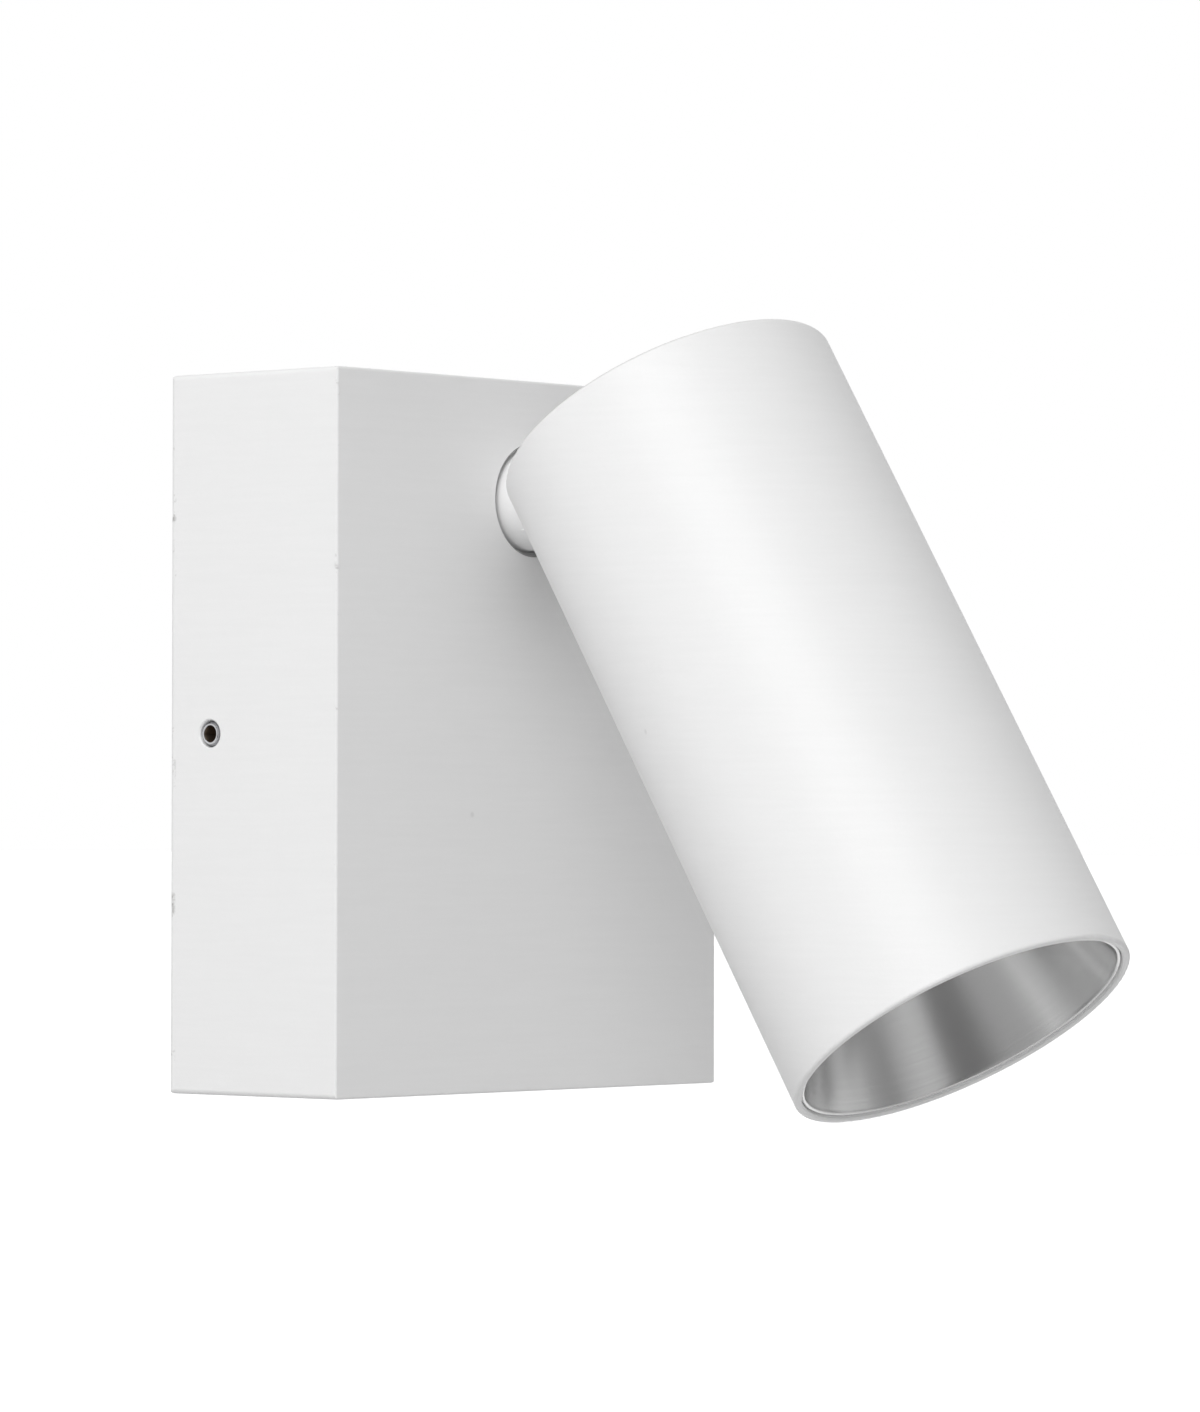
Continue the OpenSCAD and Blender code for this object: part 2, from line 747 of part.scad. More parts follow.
module earth_nut() {
    back = -plate_t - lug_t;
    color(brass) translate([earth_x, 0, earth_z]) difference() {
        union() {
            y_hex(earth_nut_af, back - earth_washer_t - earth_nut_t, back - earth_washer_t);
            y_cyl(earth_washer_d, back - earth_washer_t, back);
        }
        y_cyl(earth_d + 2 * seat_gap, -earth_len - cut, cut);
    }
}

module earth_lug() {
    axis_y = -wire_d / 2 - lug_barrel_wall;
    barrel_z = -lug_r - lug_neck - lug_barrel_l;
    color(alu) translate([earth_x, -plate_t, earth_z]) difference() {
        union() {
            y_cyl(2 * lug_r, -lug_t, 0);
            block([-lug_r * 0.4, -lug_t, -lug_r - lug_neck - 0.5], [lug_r * 0.4, 0, 0]);
            translate([0, axis_y, barrel_z])
                cylinder(h = lug_barrel_l, d = wire_d + 2 * lug_barrel_wall);
        }
        y_cyl(earth_d + 2 * seat_gap, -lug_t - cut, cut);
        translate([0, axis_y, barrel_z - cut])
            cylinder(h = lug_barrel_l - 0.6 + cut, d = wire_d + 2 * seat_gap);
    }
}

// Wires in the base. Each starts straight up out of its clamp.

pole_x = [for (i = [0 : poles - 1]) block_x + (i - (poles - 1) / 2) * pole_pitch];
clamp_in_z = block_z - clamp_screw_z - 1;
clamp_out_z = block_top + 2;

module supply_wire(x, in_z, rise) {
    start = [x, clamp_y, clamp_out_z];
    end = [driver_hole_x, driver_back + 1, in_z];
    tip = [driver_hole_x, driver_back - driver_lid_t - 1.5, in_z];
    route = concat([[x, clamp_y, clamp_in_z]],
                   curve([start, start + [0, 0, rise], end + [0, 6, 0], end], wire_steps), [tip]);
    wire(route, wire_d, [1, 0.13, 0.21], [[0, 0, 1], [0, -1, 0]]);
}

module live_wire() {
    color([0.40, 0.20, 0.08]) supply_wire(pole_x[2], live_in_z, live_rise);
}

module neutral_wire() {
    color([0.10, 0.25, 0.75]) supply_wire(pole_x[1], neutral_in_z, neutral_rise);
}

module earth_wire() {
    start = [pole_x[0], clamp_y, clamp_out_z];
    end = [earth_x, -plate_t - wire_d / 2 - lug_barrel_wall, lug_end_z];
    color([0.35, 0.60, 0.15])
        wire(concat([[pole_x[0], clamp_y, clamp_in_z]],
                    curve([start, start + [0, 0, 10], end - [0, 0, 12], end], wire_steps),
                    [end + [0, 0, lug_barrel_l - 1]]),
             wire_d, [1, 0, 0], [[0, 0, 1], [0, 0, 1]]);
}

// Lead from the driver to the back of the swivel's stem
module base_lead() {
    start = [driver_hole_x, driver_back + 0.5, lead_out_z];
    end = [0, lead_meet_y + 1, swivel_z];
    bow = -plate_t - 3 - lead_d - start.y;
    color(black)
        wire(concat([start - [0, driver_lid_t + 1.5, 0]],
                    curve([start, start + [0, bow, 2], end + [0, 10, -2], end], wire_steps),
                    [[0, lead_meet_y, swivel_z]]),
             lead_d, [1, 0.1, 0.15], [[0, 1, 0], [0, -1, 0]]);
}

// Swivel arm: a round boss, a flange and a threaded stem behind it, and flats towards the pivot

module arm_bar() {
    nose = pivot_y - arm_r;
    intersection() {
        y_cyl(2 * arm_r, nose - cut, front_y);
        union() {
            block([-arm_r, pivot_y, -arm_r - cut], [arm_r, front_y, arm_r + cut]);
            translate([0, pivot_y, 0]) x_cyl(2 * arm_r, -arm_r, arm_r);
        }
        block([-arm_t / 2, nose - cut, -arm_r - cut], [arm_t / 2, front_y, arm_r + cut]);
    }
}

module swivel_arm() {
    boss_front = front_y - boss_proud;
    chamfer = 0.4;
    bore_r = lead_bore_d / 2;
    color(paint) on_swivel() difference() {
        union() {
            about_y()
                polygon([[0, boss_front], [arm_r - chamfer, boss_front],
                         [arm_r, boss_front + chamfer], [arm_r, arm_flange_y],
                         [flange_d / 2, arm_flange_y], [flange_d / 2, arm_flange_y + flange_t],
                         [stem_d / 2, arm_flange_y + flange_t], [stem_d / 2, stem_end - 0.5],
                         [stem_d / 2 - 0.5, stem_end], [0, stem_end]]);
            arm_bar();
        }
        y_cyl(lead_bore_d, pivot_y - arm_r - cut, stem_end + cut);
        translate([0, pivot_y, 0])
            block([-bore_r, -arm_r - cut, -arm_r - cut], [bore_r, bore_r, 0]);
        translate([0, pivot_y, 0])
            x_cyl(pivot_tip_d + 2 * running_gap, -arm_t / 2 - cut, arm_t / 2 + cut);
        block([stem_d / 2 - stem_flat, wave_y, -stem_d], [stem_d, stem_end + cut, stem_d]);
    }
}

module swivel_washer() {
    color(black) on_swivel()
        y_ring(flange_d, boss_d + 2 * seat_gap, washer_y, washer_y + washer_t);
}

// Spring washer with three waves
module wave_washer() {
    turns = 36;
    r_in = stem_d / 2 + 0.3;
    r_out = stem_d / 2 + 3.2;
    points = [for (i = [0 : turns - 1])
        let (a = 360 * i / turns, y = wave_y + (wave_h - wave_t) * (1 + cos(3 * a)) / 2)
        each [for (p = [[r_in, 0], [r_out, 0], [r_out, wave_t], [r_in, wave_t]])
            [p[0] * sin(a), y + p[1], p[0] * cos(a)]]];
    faces = [for (i = [0 : turns - 1], k = [0 : 3])
        let (a = 4 * i + k, b = 4 * i + (k + 1) % 4, m = 4 * turns)
        each [[a, b, (b + 4) % m], [a, (b + 4) % m, (a + 4) % m]]];
    color(steel) on_swivel() polyhedron(points, faces, convexity = 4);
}

// Washer keyed to the stem's flat, with the tab that meets the stop pin
module stop_washer() {
    back = stop_y + stop_t;
    color(zinc) on_swivel() difference() {
        union() {
            y_cyl(2 * stop_r, stop_y, back);
            block([-stop_tab_w / 2, stop_y, -stop_tab_r], [stop_tab_w / 2, back, 0]);
        }
        difference() {
            y_cyl(stem_d + 2 * seat_gap, stop_y - cut, back + cut);
            block([stem_d / 2 - stem_flat + seat_gap, stop_y - 2 * cut, -stem_d],
                  [stem_d, back + 2 * cut, stem_d]);
        }
    }
}

module stem_nuts() {
    color(brass) on_swivel() difference() {
        for (i = [0, 1])
            y_hex(nut_af, nut_y + i * (nut_t + running_gap), nut_y + nut_t + i * (nut_t + running_gap));
        y_cyl(stem_d + 2 * seat_gap, nut_y - cut, stem_end + cut);
    }
}

// Straight lead through the stem and the arm, up to the tilt axis
module swivel_lead() {
    color(black) on_swivel() y_cyl(lead_d, pivot_y + lead_d * 0.6, lead_meet_y);
}

// Tube head

// Plan of the arm's way through a wall: straight sides and a blunt round end
module slot_plan(reach) {
    intersection() {
        union() {
            translate([-slot_half, -reach]) square([2 * slot_half, reach]);
            circle(r = slot_end_r);
        }
        translate([-slot_half, -reach]) square([2 * slot_half, reach + 2 * slot_end_r]);
    }
}

module tube_body() {
    mouth_edge = 0.5;
    bore_edge = 0.25;
    color(paint) in_head() difference() {
        rotate_extrude() {
            difference() {
                translate([0, rear_z])
                    rounded_rect([0, 0], [tube_r, tube_l], [0.1, tube_rear_r, mouth_edge, 0.1]);
                translate([-cut, rear_z - cut]) square([tube_inner_r + cut, tube_l + 2 * cut]);
                translate([-cut, rear_z - cut]) square([cut, tube_l + 2 * cut]);
                polygon([[0, mouth_z - bore_edge], [tube_inner_r, mouth_z - bore_edge],
                         [tube_inner_r + bore_edge + cut, mouth_z + cut], [0, mouth_z + cut]]);
            }
        }
        rotate([90, 0, 0]) linear_extrude(2 * tube_r) slot_plan(2 * pivot_back);
    }
}

module at_cap_screws() {
    for (x = [-post_x, post_x]) translate([x, 0, 0]) children();
}

module rear_cap() {
    color(paint) in_head() difference() {
        translate([0, 0, cap_z]) cylinder(h = cap_t, r = cap_r);
        translate([0, 0, cap_z - cut]) linear_extrude(cap_t + 2 * cut) slot_plan(2 * tube_r);
        at_cap_screws() translate([0, 0, cap_z - cut])
            cylinder(h = cap_t + 2 * cut, d = m3_d + 0.4);
        at_cap_screws() translate([0, 0, cap_z - 0.01])
            cylinder(h = cap_sink_depth, d1 = cap_head_d + 0.6, d2 = m3_d + 0.4);
    }
}

// Countersunk screws from behind
module cap_screws() {
    shank = cap_t + cap_screw_reach;
    color(steel) in_head() at_cap_screws() translate([0, 0, cap_z]) difference() {
        rotate_extrude()
            polygon([[0, 0.1], [cap_head_d / 2, 0.1], [cap_head_d / 2, 0.25],
                     [m3_d / 2 - seat_gap, cap_sink_depth + 0.1],
                     [m3_d / 2 - seat_gap, shank], [0, shank]]);
        translate([0, 0, -cut]) cylinder(h = 1.2 + cut, d = 2 / cos(30), $fn = 6);
    }
}

module cap_posts() {
    color(brass) in_head() at_cap_screws() difference() {
        translate([0, 0, cap_front])
            cylinder(h = bracket_z - cap_front, d = cap_post_af / cos(30), $fn = 6);
        translate([0, 0, cap_front - cut])
            cylinder(h = cap_screw_reach + 2 + cut, d = m3_d);
    }
}

// Bracket: a round plate with two ears for the pivot screws and a notch for the lead
module tilt_bracket() {
    color(zinc) in_head() difference() {
        union() {
            translate([0, 0, bracket_z]) cylinder(h = bracket_t, r = bracket_r);
            for (s = [-1, 1]) scale([s, 1, 1]) {
                x_cyl(2 * ear_r, ear_x, ear_x + ear_t);
                block([ear_x, -ear_r, 0], [ear_x + ear_t, ear_r, bracket_z + bracket_t / 2]);
            }
        }
        x_cyl(pivot_thread_d + 2 * seat_gap, -ear_x - ear_t - cut, ear_x + ear_t + cut);
        at_bracket_screws() translate([0, 0, bracket_z - cut])
            cylinder(h = bracket_t + 2 * cut, d = m3_d + 0.4);
        block([-lead_d / 2 - 0.6, 8, bracket_z - cut],
              [lead_d / 2 + 0.6, bracket_r + cut, bracket_z + bracket_t + cut]);
    }
}

module at_bracket_screws() {
    for (x = [-1, 1], y = [-1, 1])
        translate([x * bracket_screw_xy, y * bracket_screw_xy, 0]) children();
}

// Screws with a plain tip that the arm turns on
module pivot_screws() {
    out = ear_x + ear_t;
    color(steel) in_head() for (s = [-1, 1]) scale([s, 1, 1]) difference() {
        union() {
            x_cyl(pivot_tip_d, pivot_tip_x, ear_x + 0.5);
            x_cyl(pivot_thread_d, ear_x, out);
            x_cyl(pivot_head_d, out, out + pivot_head_h);
        }
        translate([out + pivot_head_h - 1.4, 0, 0]) rotate([0, 90, 0])
            cylinder(h = 3, d = 3 / cos(30), $fn = 6);
    }
}

module pivot_washers() {
    color(black) in_head() for (s = [-1, 1]) scale([s, 1, 1]) difference() {
        x_cyl(pivot_washer_d, arm_t / 2 + running_gap, ear_x - running_gap);
        x_cyl(pivot_tip_d + 2 * seat_gap, 0, ear_x + cut);
    }
}

module bracket_screws() {
    color(steel) in_head() at_bracket_screws() translate([0, 0, bracket_z]) rotate([180, 0, 0])
        pan_screw(post_hole_d, bracket_screw_l, m3_head_d, m3_head_h);
}

// Heat sink: a core with fins and a front disc that carries the LED
module heat_sink() {
    color(alu) in_head() difference() {
        union() {
            translate([0, 0, sink_z]) linear_extrude(sink_front - sink_z) union() {
                circle(r = sink_core_r);
                intersection() {
                    circle(r = sink_fin_r);
                    for (i = [0 : fins - 1]) rotate((i + 0.5) * 360 / fins + 90)
                        translate([0, -fin_t / 2]) square([sink_fin_r, fin_t]);
                }
            }
            translate([0, 0, sink_disc_z]) cylinder(h = sink_disc_t, r = sink_disc_r);
        }
        at_bracket_screws() translate([0, 0, sink_z - cut])
            cylinder(h = bracket_screw_l - bracket_t + 1.5 + cut, d = post_hole_d + 2 * seat_gap);
        at_holder_screws() translate([0, 0, sink_front - 5])
            cylinder(h = 5 + cut, d = post_hole_d + 2 * seat_gap);
        translate([0, lead_y, sink_disc_z - cut])
            cylinder(h = sink_disc_t + 2 * cut, d = lead_d + 1.2);
    }
}

module thermal_pad() {
    color([0.25, 0.25, 0.28]) in_head() translate([0, 0, sink_front + pad_film_t / 2])
        cube([led_board_w, led_board_w, pad_film_t], center = true);
}

module led_board() {
    color([0.92, 0.92, 0.88]) in_head() translate([0, 0, board_z + led_board_t / 2])
        cube([led_board_w, led_board_w, led_board_t], center = true);
}

module led_emitter() {
    color([0.95, 0.80, 0.25]) in_head()
        translate([0, 0, board_front]) cylinder(h = emitter_t, d = led_d);
}

module at_holder_screws() {
    for (x = [-holder_screw_x, holder_screw_x]) translate([x, 0, 0]) children();
}

module led_holder() {
    half = led_board_w / 2 + seat_gap;
    color(nylon) in_head() difference() {
        union() {
            translate([0, 0, sink_front]) cylinder(h = holder_top - sink_front, r = holder_r);
            block([-lead_d / 2 - 1.5, holder_socket_y, sink_front],
                  [lead_d / 2 + 1.5, holder_r + 0.5, socket_z + lead_d / 2 + 0.8]);
        }
        translate([0, 0, socket_z])
            y_cyl(lead_d + 2 * seat_gap, holder_r - 2.5, holder_r + cut);
        block([-half, -half, sink_front - cut], [half, half, board_front]);
        translate([0, 0, sink_front]) cylinder(h = holder_top - sink_front + cut, r = base_r);
        at_holder_screws() translate([0, 0, sink_front - cut])
            cylinder(h = holder_top - sink_front + 2 * cut, d = m3_d + 0.4);
    }
}

module holder_screws() {
    color(steel) in_head() at_holder_screws() translate([0, 0, holder_top])
        pan_screw(post_hole_d, holder_top - sink_front + 4, m3_head_d - 0.2, holder_head_h);
}

// Spun reflector with a rolled lip and a flat seat on the LED holder
module reflector() {
    inner = [for (i = [0 : reflector_steps])
        let (z = reflector_depth * i / reflector_steps)
        [sqrt(base_r * base_r + parabola_k * z), seat_z + z]];
    lip = [for (a = [150 : -30 : -90])
        [lip_r + lip_bead_r * cos(a), lip_z + lip_bead_r * sin(a)]];
    outer = [for (i = [reflector_steps - 1 : -1 : 1]) inner[i] + [reflector_t, 0]];
    seat = [[seat_flange_r, seat_z + reflector_t], [seat_flange_r, seat_z]];
    color([0.86, 0.86, 0.86]) in_head() rotate_extrude()
        polygon(concat(inner, lip, outer, seat));
}

// Lead from the tilt axis to the LED holder, along a gap between the fins
module head_lead() {
    y = lead_y;
    nose = arm_r + 0.8;
    turn_z = sink_front - 1;
    end = [0, holder_r + 0.6, socket_z];
    color(black) in_head()
        wire(concat([[0, 0, lead_d * 0.6]],
                    curve([[0, 0, nose], [0, 0, nose + 7], [0, y, nose + 1], [0, y, bracket_z + 1]],
                          wire_steps),
                    curve([[0, y, turn_z], [0, y, turn_z + 3], [0, end.y + 3, end.z], end], 8),
                    [[0, holder_r - 2.3, socket_z]]),
             lead_d, [1, 0, 0], [[0, 0, 1], [0, -1, 0]]);
}

base_cover();
wall_plate();
cable_grommet();
cover_grub_screws();
swivel_plate();
swivel_plate_screws();
swivel_bush();
stop_pin();
driver_case();
driver_lid();
driver_board();
driver_screws();
terminal_body();
terminal_clamps();
terminal_screws();
terminal_fixing_screw();
earth_stud();
earth_nut();
earth_lug();
live_wire();
neutral_wire();
earth_wire();
base_lead();
swivel_arm();
swivel_washer();
wave_washer();
stop_washer();
stem_nuts();
swivel_lead();
tube_body();
rear_cap();
cap_screws();
cap_posts();
tilt_bracket();
pivot_screws();
pivot_washers();
bracket_screws();
heat_sink();
thermal_pad();
led_board();
led_emitter();
led_holder();
holder_screws();
reflector();
head_lead();
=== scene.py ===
"""Adjustable wall spotlight: finished pieces, materials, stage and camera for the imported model."""

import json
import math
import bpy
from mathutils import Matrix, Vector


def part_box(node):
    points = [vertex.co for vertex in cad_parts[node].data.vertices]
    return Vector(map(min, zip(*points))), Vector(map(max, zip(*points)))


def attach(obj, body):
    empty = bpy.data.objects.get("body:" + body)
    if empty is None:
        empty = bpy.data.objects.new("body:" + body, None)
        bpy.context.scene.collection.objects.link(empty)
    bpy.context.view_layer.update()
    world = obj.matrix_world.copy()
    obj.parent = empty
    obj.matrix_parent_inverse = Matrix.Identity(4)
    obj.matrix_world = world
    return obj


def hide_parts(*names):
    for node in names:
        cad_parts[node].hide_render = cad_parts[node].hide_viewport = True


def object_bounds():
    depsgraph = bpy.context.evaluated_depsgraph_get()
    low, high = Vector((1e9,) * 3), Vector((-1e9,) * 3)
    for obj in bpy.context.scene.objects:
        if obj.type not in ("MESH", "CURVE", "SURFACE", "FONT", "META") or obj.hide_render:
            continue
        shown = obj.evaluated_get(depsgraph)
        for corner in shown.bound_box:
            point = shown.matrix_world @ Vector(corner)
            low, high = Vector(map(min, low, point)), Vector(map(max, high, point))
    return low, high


bl_info = {
    "name": "Adjustable wall spotlight",
    "version": (1, 0, 0),
    "blender": (4, 5, 0),
    "location": "3D View > Sidebar > Spotlight",
    "description": "Finishes the pieces of a wall spotlight and sets up its stage and camera",
    "category": "Object",
}

import bmesh
import bpy
import numpy as np
from mathutils import Matrix, Vector

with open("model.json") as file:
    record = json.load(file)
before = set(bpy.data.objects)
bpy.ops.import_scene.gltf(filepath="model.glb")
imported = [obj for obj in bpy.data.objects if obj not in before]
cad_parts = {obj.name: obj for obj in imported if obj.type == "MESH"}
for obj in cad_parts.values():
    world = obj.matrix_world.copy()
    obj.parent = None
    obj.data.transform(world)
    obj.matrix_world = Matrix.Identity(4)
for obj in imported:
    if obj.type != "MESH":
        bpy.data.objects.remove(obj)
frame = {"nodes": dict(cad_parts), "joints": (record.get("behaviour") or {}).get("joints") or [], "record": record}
cad_box = [list(corner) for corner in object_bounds()]

NODES = frame["nodes"]
COLOURS = {m["slot"]: tuple(m["base_color"]) for m in frame["record"]["materials"]}
JOINTS = {j["name"]: j for j in frame["joints"]}
TURN = 2 * math.pi
# Half the width across a hexagon's flats, as a share of its corners' radius
FLATS = math.cos(math.pi / 6)
# Edges with a larger angle between their faces stay crisp
CREASE = math.radians(35)
# Heights closer together than this count as the same, in metres
CLOSE = 1e-5
# The point that the lamps face
LIT_POINT = Vector((0, -0.05, 0))


# Frames


def frame_along(origin, direction, side=(1, 0, 0)):
    """A frame at origin with its Z along direction and its X as near to side as it can be."""
    z = Vector(direction).normalized()
    y = z.cross(Vector(side)).normalized()
    x = y.cross(z)
    turn = Matrix((x, y, z)).transposed().to_4x4()
    return Matrix.Translation(Vector(origin)) @ turn


def middle(node):
    """Middle of a CAD node's box."""
    low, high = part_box(node)
    return (low + high) / 2


TILT_AXIS = Vector(JOINTS["tilt"]["pos_m"])
SWIVEL_AXIS = Vector(JOINTS["swivel"]["pos_m"])
# Z is the way the light points, and the tilt axis is at 0
HEAD = frame_along(TILT_AXIS, middle("led_emitter") - TILT_AXIS)
INTO_WALL = Vector((0, 1, 0))
LIGHT_WAY = HEAD.to_3x3() @ Vector((0, 0, 1))


def node_points(node, local=Matrix()):
    """Vertices of a CAD node, in a local frame, as rows of an array."""
    turn = np.array(local.inverted())
    points = np.array([v.co for v in NODES[node].data.vertices], float)
    return points @ turn[:3, :3].T + turn[:3, 3]


def solids(node, local=Matrix()):
    """Points of each separate solid of a CAD node, in a local frame, from left to right."""
    mesh = NODES[node].data
    places, first = {}, []
    for v in mesh.vertices:
        first.append(places.setdefault(tuple(round(c * 1e6) for c in v.co), v.index))
    owner = list(range(len(first)))

    def root(i):
        while owner[i] != i:
            owner[i] = owner[owner[i]]
            i = owner[i]
        return i

    for edge in mesh.edges:
        a, b = root(first[edge.vertices[0]]), root(first[edge.vertices[1]])
        owner[a] = b
    groups = {}
    for i, f in enumerate(first):
        groups.setdefault(root(f), []).append(i)
    points = node_points(node, local)
    found = [points[rows] for rows in groups.values()]
    return sorted(found, key=lambda p: tuple(np.round((p.min(0) + p.max(0)) * 1e4)))


def spread(points):
    """Low corner, high corner and middle of points, and their distances from the middle's axis."""
    low, high = points.min(0), points.max(0)
    axis = (low + high) / 2
    return low, high, axis, np.hypot(points[:, 0] - axis[0], points[:, 1] - axis[1])


def upright(axis):
    """Place of a piece that stands round an axis along Z."""
    return Matrix.Translation((axis[0], axis[1], 0))


def outermost(node, local):
    """Points of the solid that reaches farthest along a local frame's Z."""
    return max(solids(node, local), key=lambda points: points[:, 2].max())


# Forms


def hexagon(across_flats):
    """Radius of a hexagon's edge at an angle."""
    def at(angle, z):
        return across_flats / 2 / math.cos(angle % (TURN / 6) - TURN / 12)
    return at


def recess(reach, half_width, arms):
    """Radius of the edge of a cross (four arms) or of a straight slot (two) at an angle."""
    sector = TURN / arms

    def at(angle, z):
        turned = abs((angle + sector / 2) % sector - sector / 2)
        return min(reach, half_width / max(math.sin(turned), 1e-6))
    return at


def thread(radius, depth, pitch):
    """Radius of a thread's flank at an angle and a height."""
    def at(angle, z):
        wave = abs(2 * ((z / pitch - angle / TURN) % 1) - 1)
        return radius - depth * min(1, max(0, 1.25 * wave - 0.1))
    return at


def limited(shape, radius):
    """A shape cut off at a radius."""
    def at(angle, z):
        return min(shape(angle, z), radius)
    return at


def arc(x, z, radius, degrees):
    """Points of an arc round (x, z), at each of some angles in degrees."""
    return [(x + radius * math.cos(a), z + radius * math.sin(a))
            for a in map(math.radians, degrees)]


def bands(rows):
    """Faces between closed rows of points. Points that fall together count once."""
    faces = []
    for low, high in zip(rows, rows[1:]):
        for k in range(len(low)):
            n = (k + 1) % len(low)
            corners = list(dict.fromkeys((low[k], low[n], high[n], high[k])))
            if len(corners) > 2:
                faces.append(corners)
    return faces


def placed(name, data, place=Matrix()):
    """A new object in the scene."""
    thing = bpy.data.objects.new(name, data)
    bpy.context.scene.collection.objects.link(thing)
    thing.matrix_world = place
    return thing


def mesh_object(name, points, faces, finishes, place=Matrix()):
    """A new object of a mesh that has the materials of some finishes."""
    mesh = bpy.data.meshes.new(name)
    mesh.from_pydata([tuple(p) for p in points], [], faces)
    for finish in finishes:
        mesh.materials.append(finish.material)
    return placed(name, mesh, place)


class Form:
    """Vertices and faces of one piece, put together part by part."""

    def __init__(self):
        self.points, self.faces, self.finishes = [], [], []

    def add(self, points, faces, finishes, place=Matrix()):
        start = len(self.points)
        self.points += [place @ Vector(p) for p in points]
        self.faces += [[start + i for i in f] for f in faces]
        self.finishes += finishes

    def turned(self, rings, sides=48, place=Matrix(), loop=False, finish=0):
        """Surface through rings of (radius, height) round Z.

        A radius may be a function of angle and height.
        """
        points, rows = [], []
        for radius, z in rings:
            if not callable(radius) and radius == 0:
                rows.append([len(points)] * sides)
                points.append((0, 0, z))
                continue
            rows.append(list(range(len(points), len(points) + sides)))
            for k in range(sides):
                angle = TURN * k / sides
                r = radius(angle, z) if callable(radius) else radius
                points.append((r * math.cos(angle), r * math.sin(angle), z))
        faces = bands(rows + rows[:1] if loop else rows)
        self.add(points, faces, [finish] * len(faces), place)

    def swept(self, path, sides=24):
        """Round tube through (point, radius, finish), closed at both ends."""
        spots = [spot for spot, radius, finish in path]
        ways = [(spots[min(i + 1, len(spots) - 1)] - spots[max(i - 1, 0)]).normalized()
                for i in range(len(spots))]
        across = ways[0].orthogonal().normalized()
        points = []
        for way, (spot, radius, finish) in zip(ways, path):
            across = (across - way * across.dot(way)).normalized()
            up = way.cross(across)
            for k in range(sides):
                a = TURN * k / sides
                points.append(spot + (across * math.cos(a) + up * math.sin(a)) * radius)
        rows = [list(range(i, i + sides)) for i in range(0, len(points), sides)]
        finishes = [finish for spot, radius, finish in path[1:] for k in range(sides)]
        self.add(points, bands(rows) + [rows[0][::-1], rows[-1]],
                 finishes + [path[0][2], path[-1][2]])

    def piece(self, name, body, finishes, stands_for=(), place=Matrix()):
        """Makes the object, riding on a body, with its normals outwards and crisp edges."""
        thing = mesh_object(name, self.points, self.faces, finishes, place)
        mesh = thing.data
        for polygon, number in zip(mesh.polygons, self.finishes):
            polygon.material_index = number
            polygon.use_smooth = True
        shell = bmesh.new()
        shell.from_mesh(mesh)
        bmesh.ops.recalc_face_normals(shell, faces=shell.faces)
        shell.to_mesh(mesh)
        shell.free()
        mesh.set_sharp_from_angle(angle=CREASE)
        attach(thing, body)
        if stands_for:
            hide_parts(*stands_for)


def bezier(a, b, c, d, steps):
    """Points of a cubic curve."""
    a, b, c, d = (Vector(p) for p in (a, b, c, d))
    points = []
    for i in range(steps + 1):
        t = i / steps
        u = 1 - t
        points.append(u ** 3 * a + 3 * t * u * u * b + 3 * t * t * u * c + t ** 3 * d)
    return points


# Materials


class Nodes:
    """Shader nodes of a world or a material."""

    def __init__(self, tree):
        self.tree = tree

    def node(self, kind, **settings):
        """A new node. Settings that start with a capital are its inputs, and the rest its own."""
        made = self.tree.nodes.new("ShaderNode" + kind)
        for key, value in settings.items():
            if key[0].isupper():
                self.put(made.inputs[key.replace("_", " ")], value)
            else:
                setattr(made, key, value)
        return made

    def put(self, socket, value):
        if isinstance(value, bpy.types.NodeSocket):
            self.tree.links.new(value, socket)
        else:
            socket.default_value = value

    def calc(self, operation, a, b=0.0):
        """Result of a Math node with one or two values."""
        node = self.node("Math", operation=operation)
        for socket, value in zip(node.inputs, (a, b)):
            self.put(socket, value)
        return node.outputs[0]

    def ramp(self, value, low, high, start=0.0, end=1.0):
        """A value from low to high spread over start to end, and held outside it."""
        node = self.node("MapRange", clamp=True)
        self.put(node.inputs[0], value)
        for socket, number in zip(list(node.inputs)[1:5], (low, high, start, end)):
            self.put(socket, number)
        return node.outputs[0]


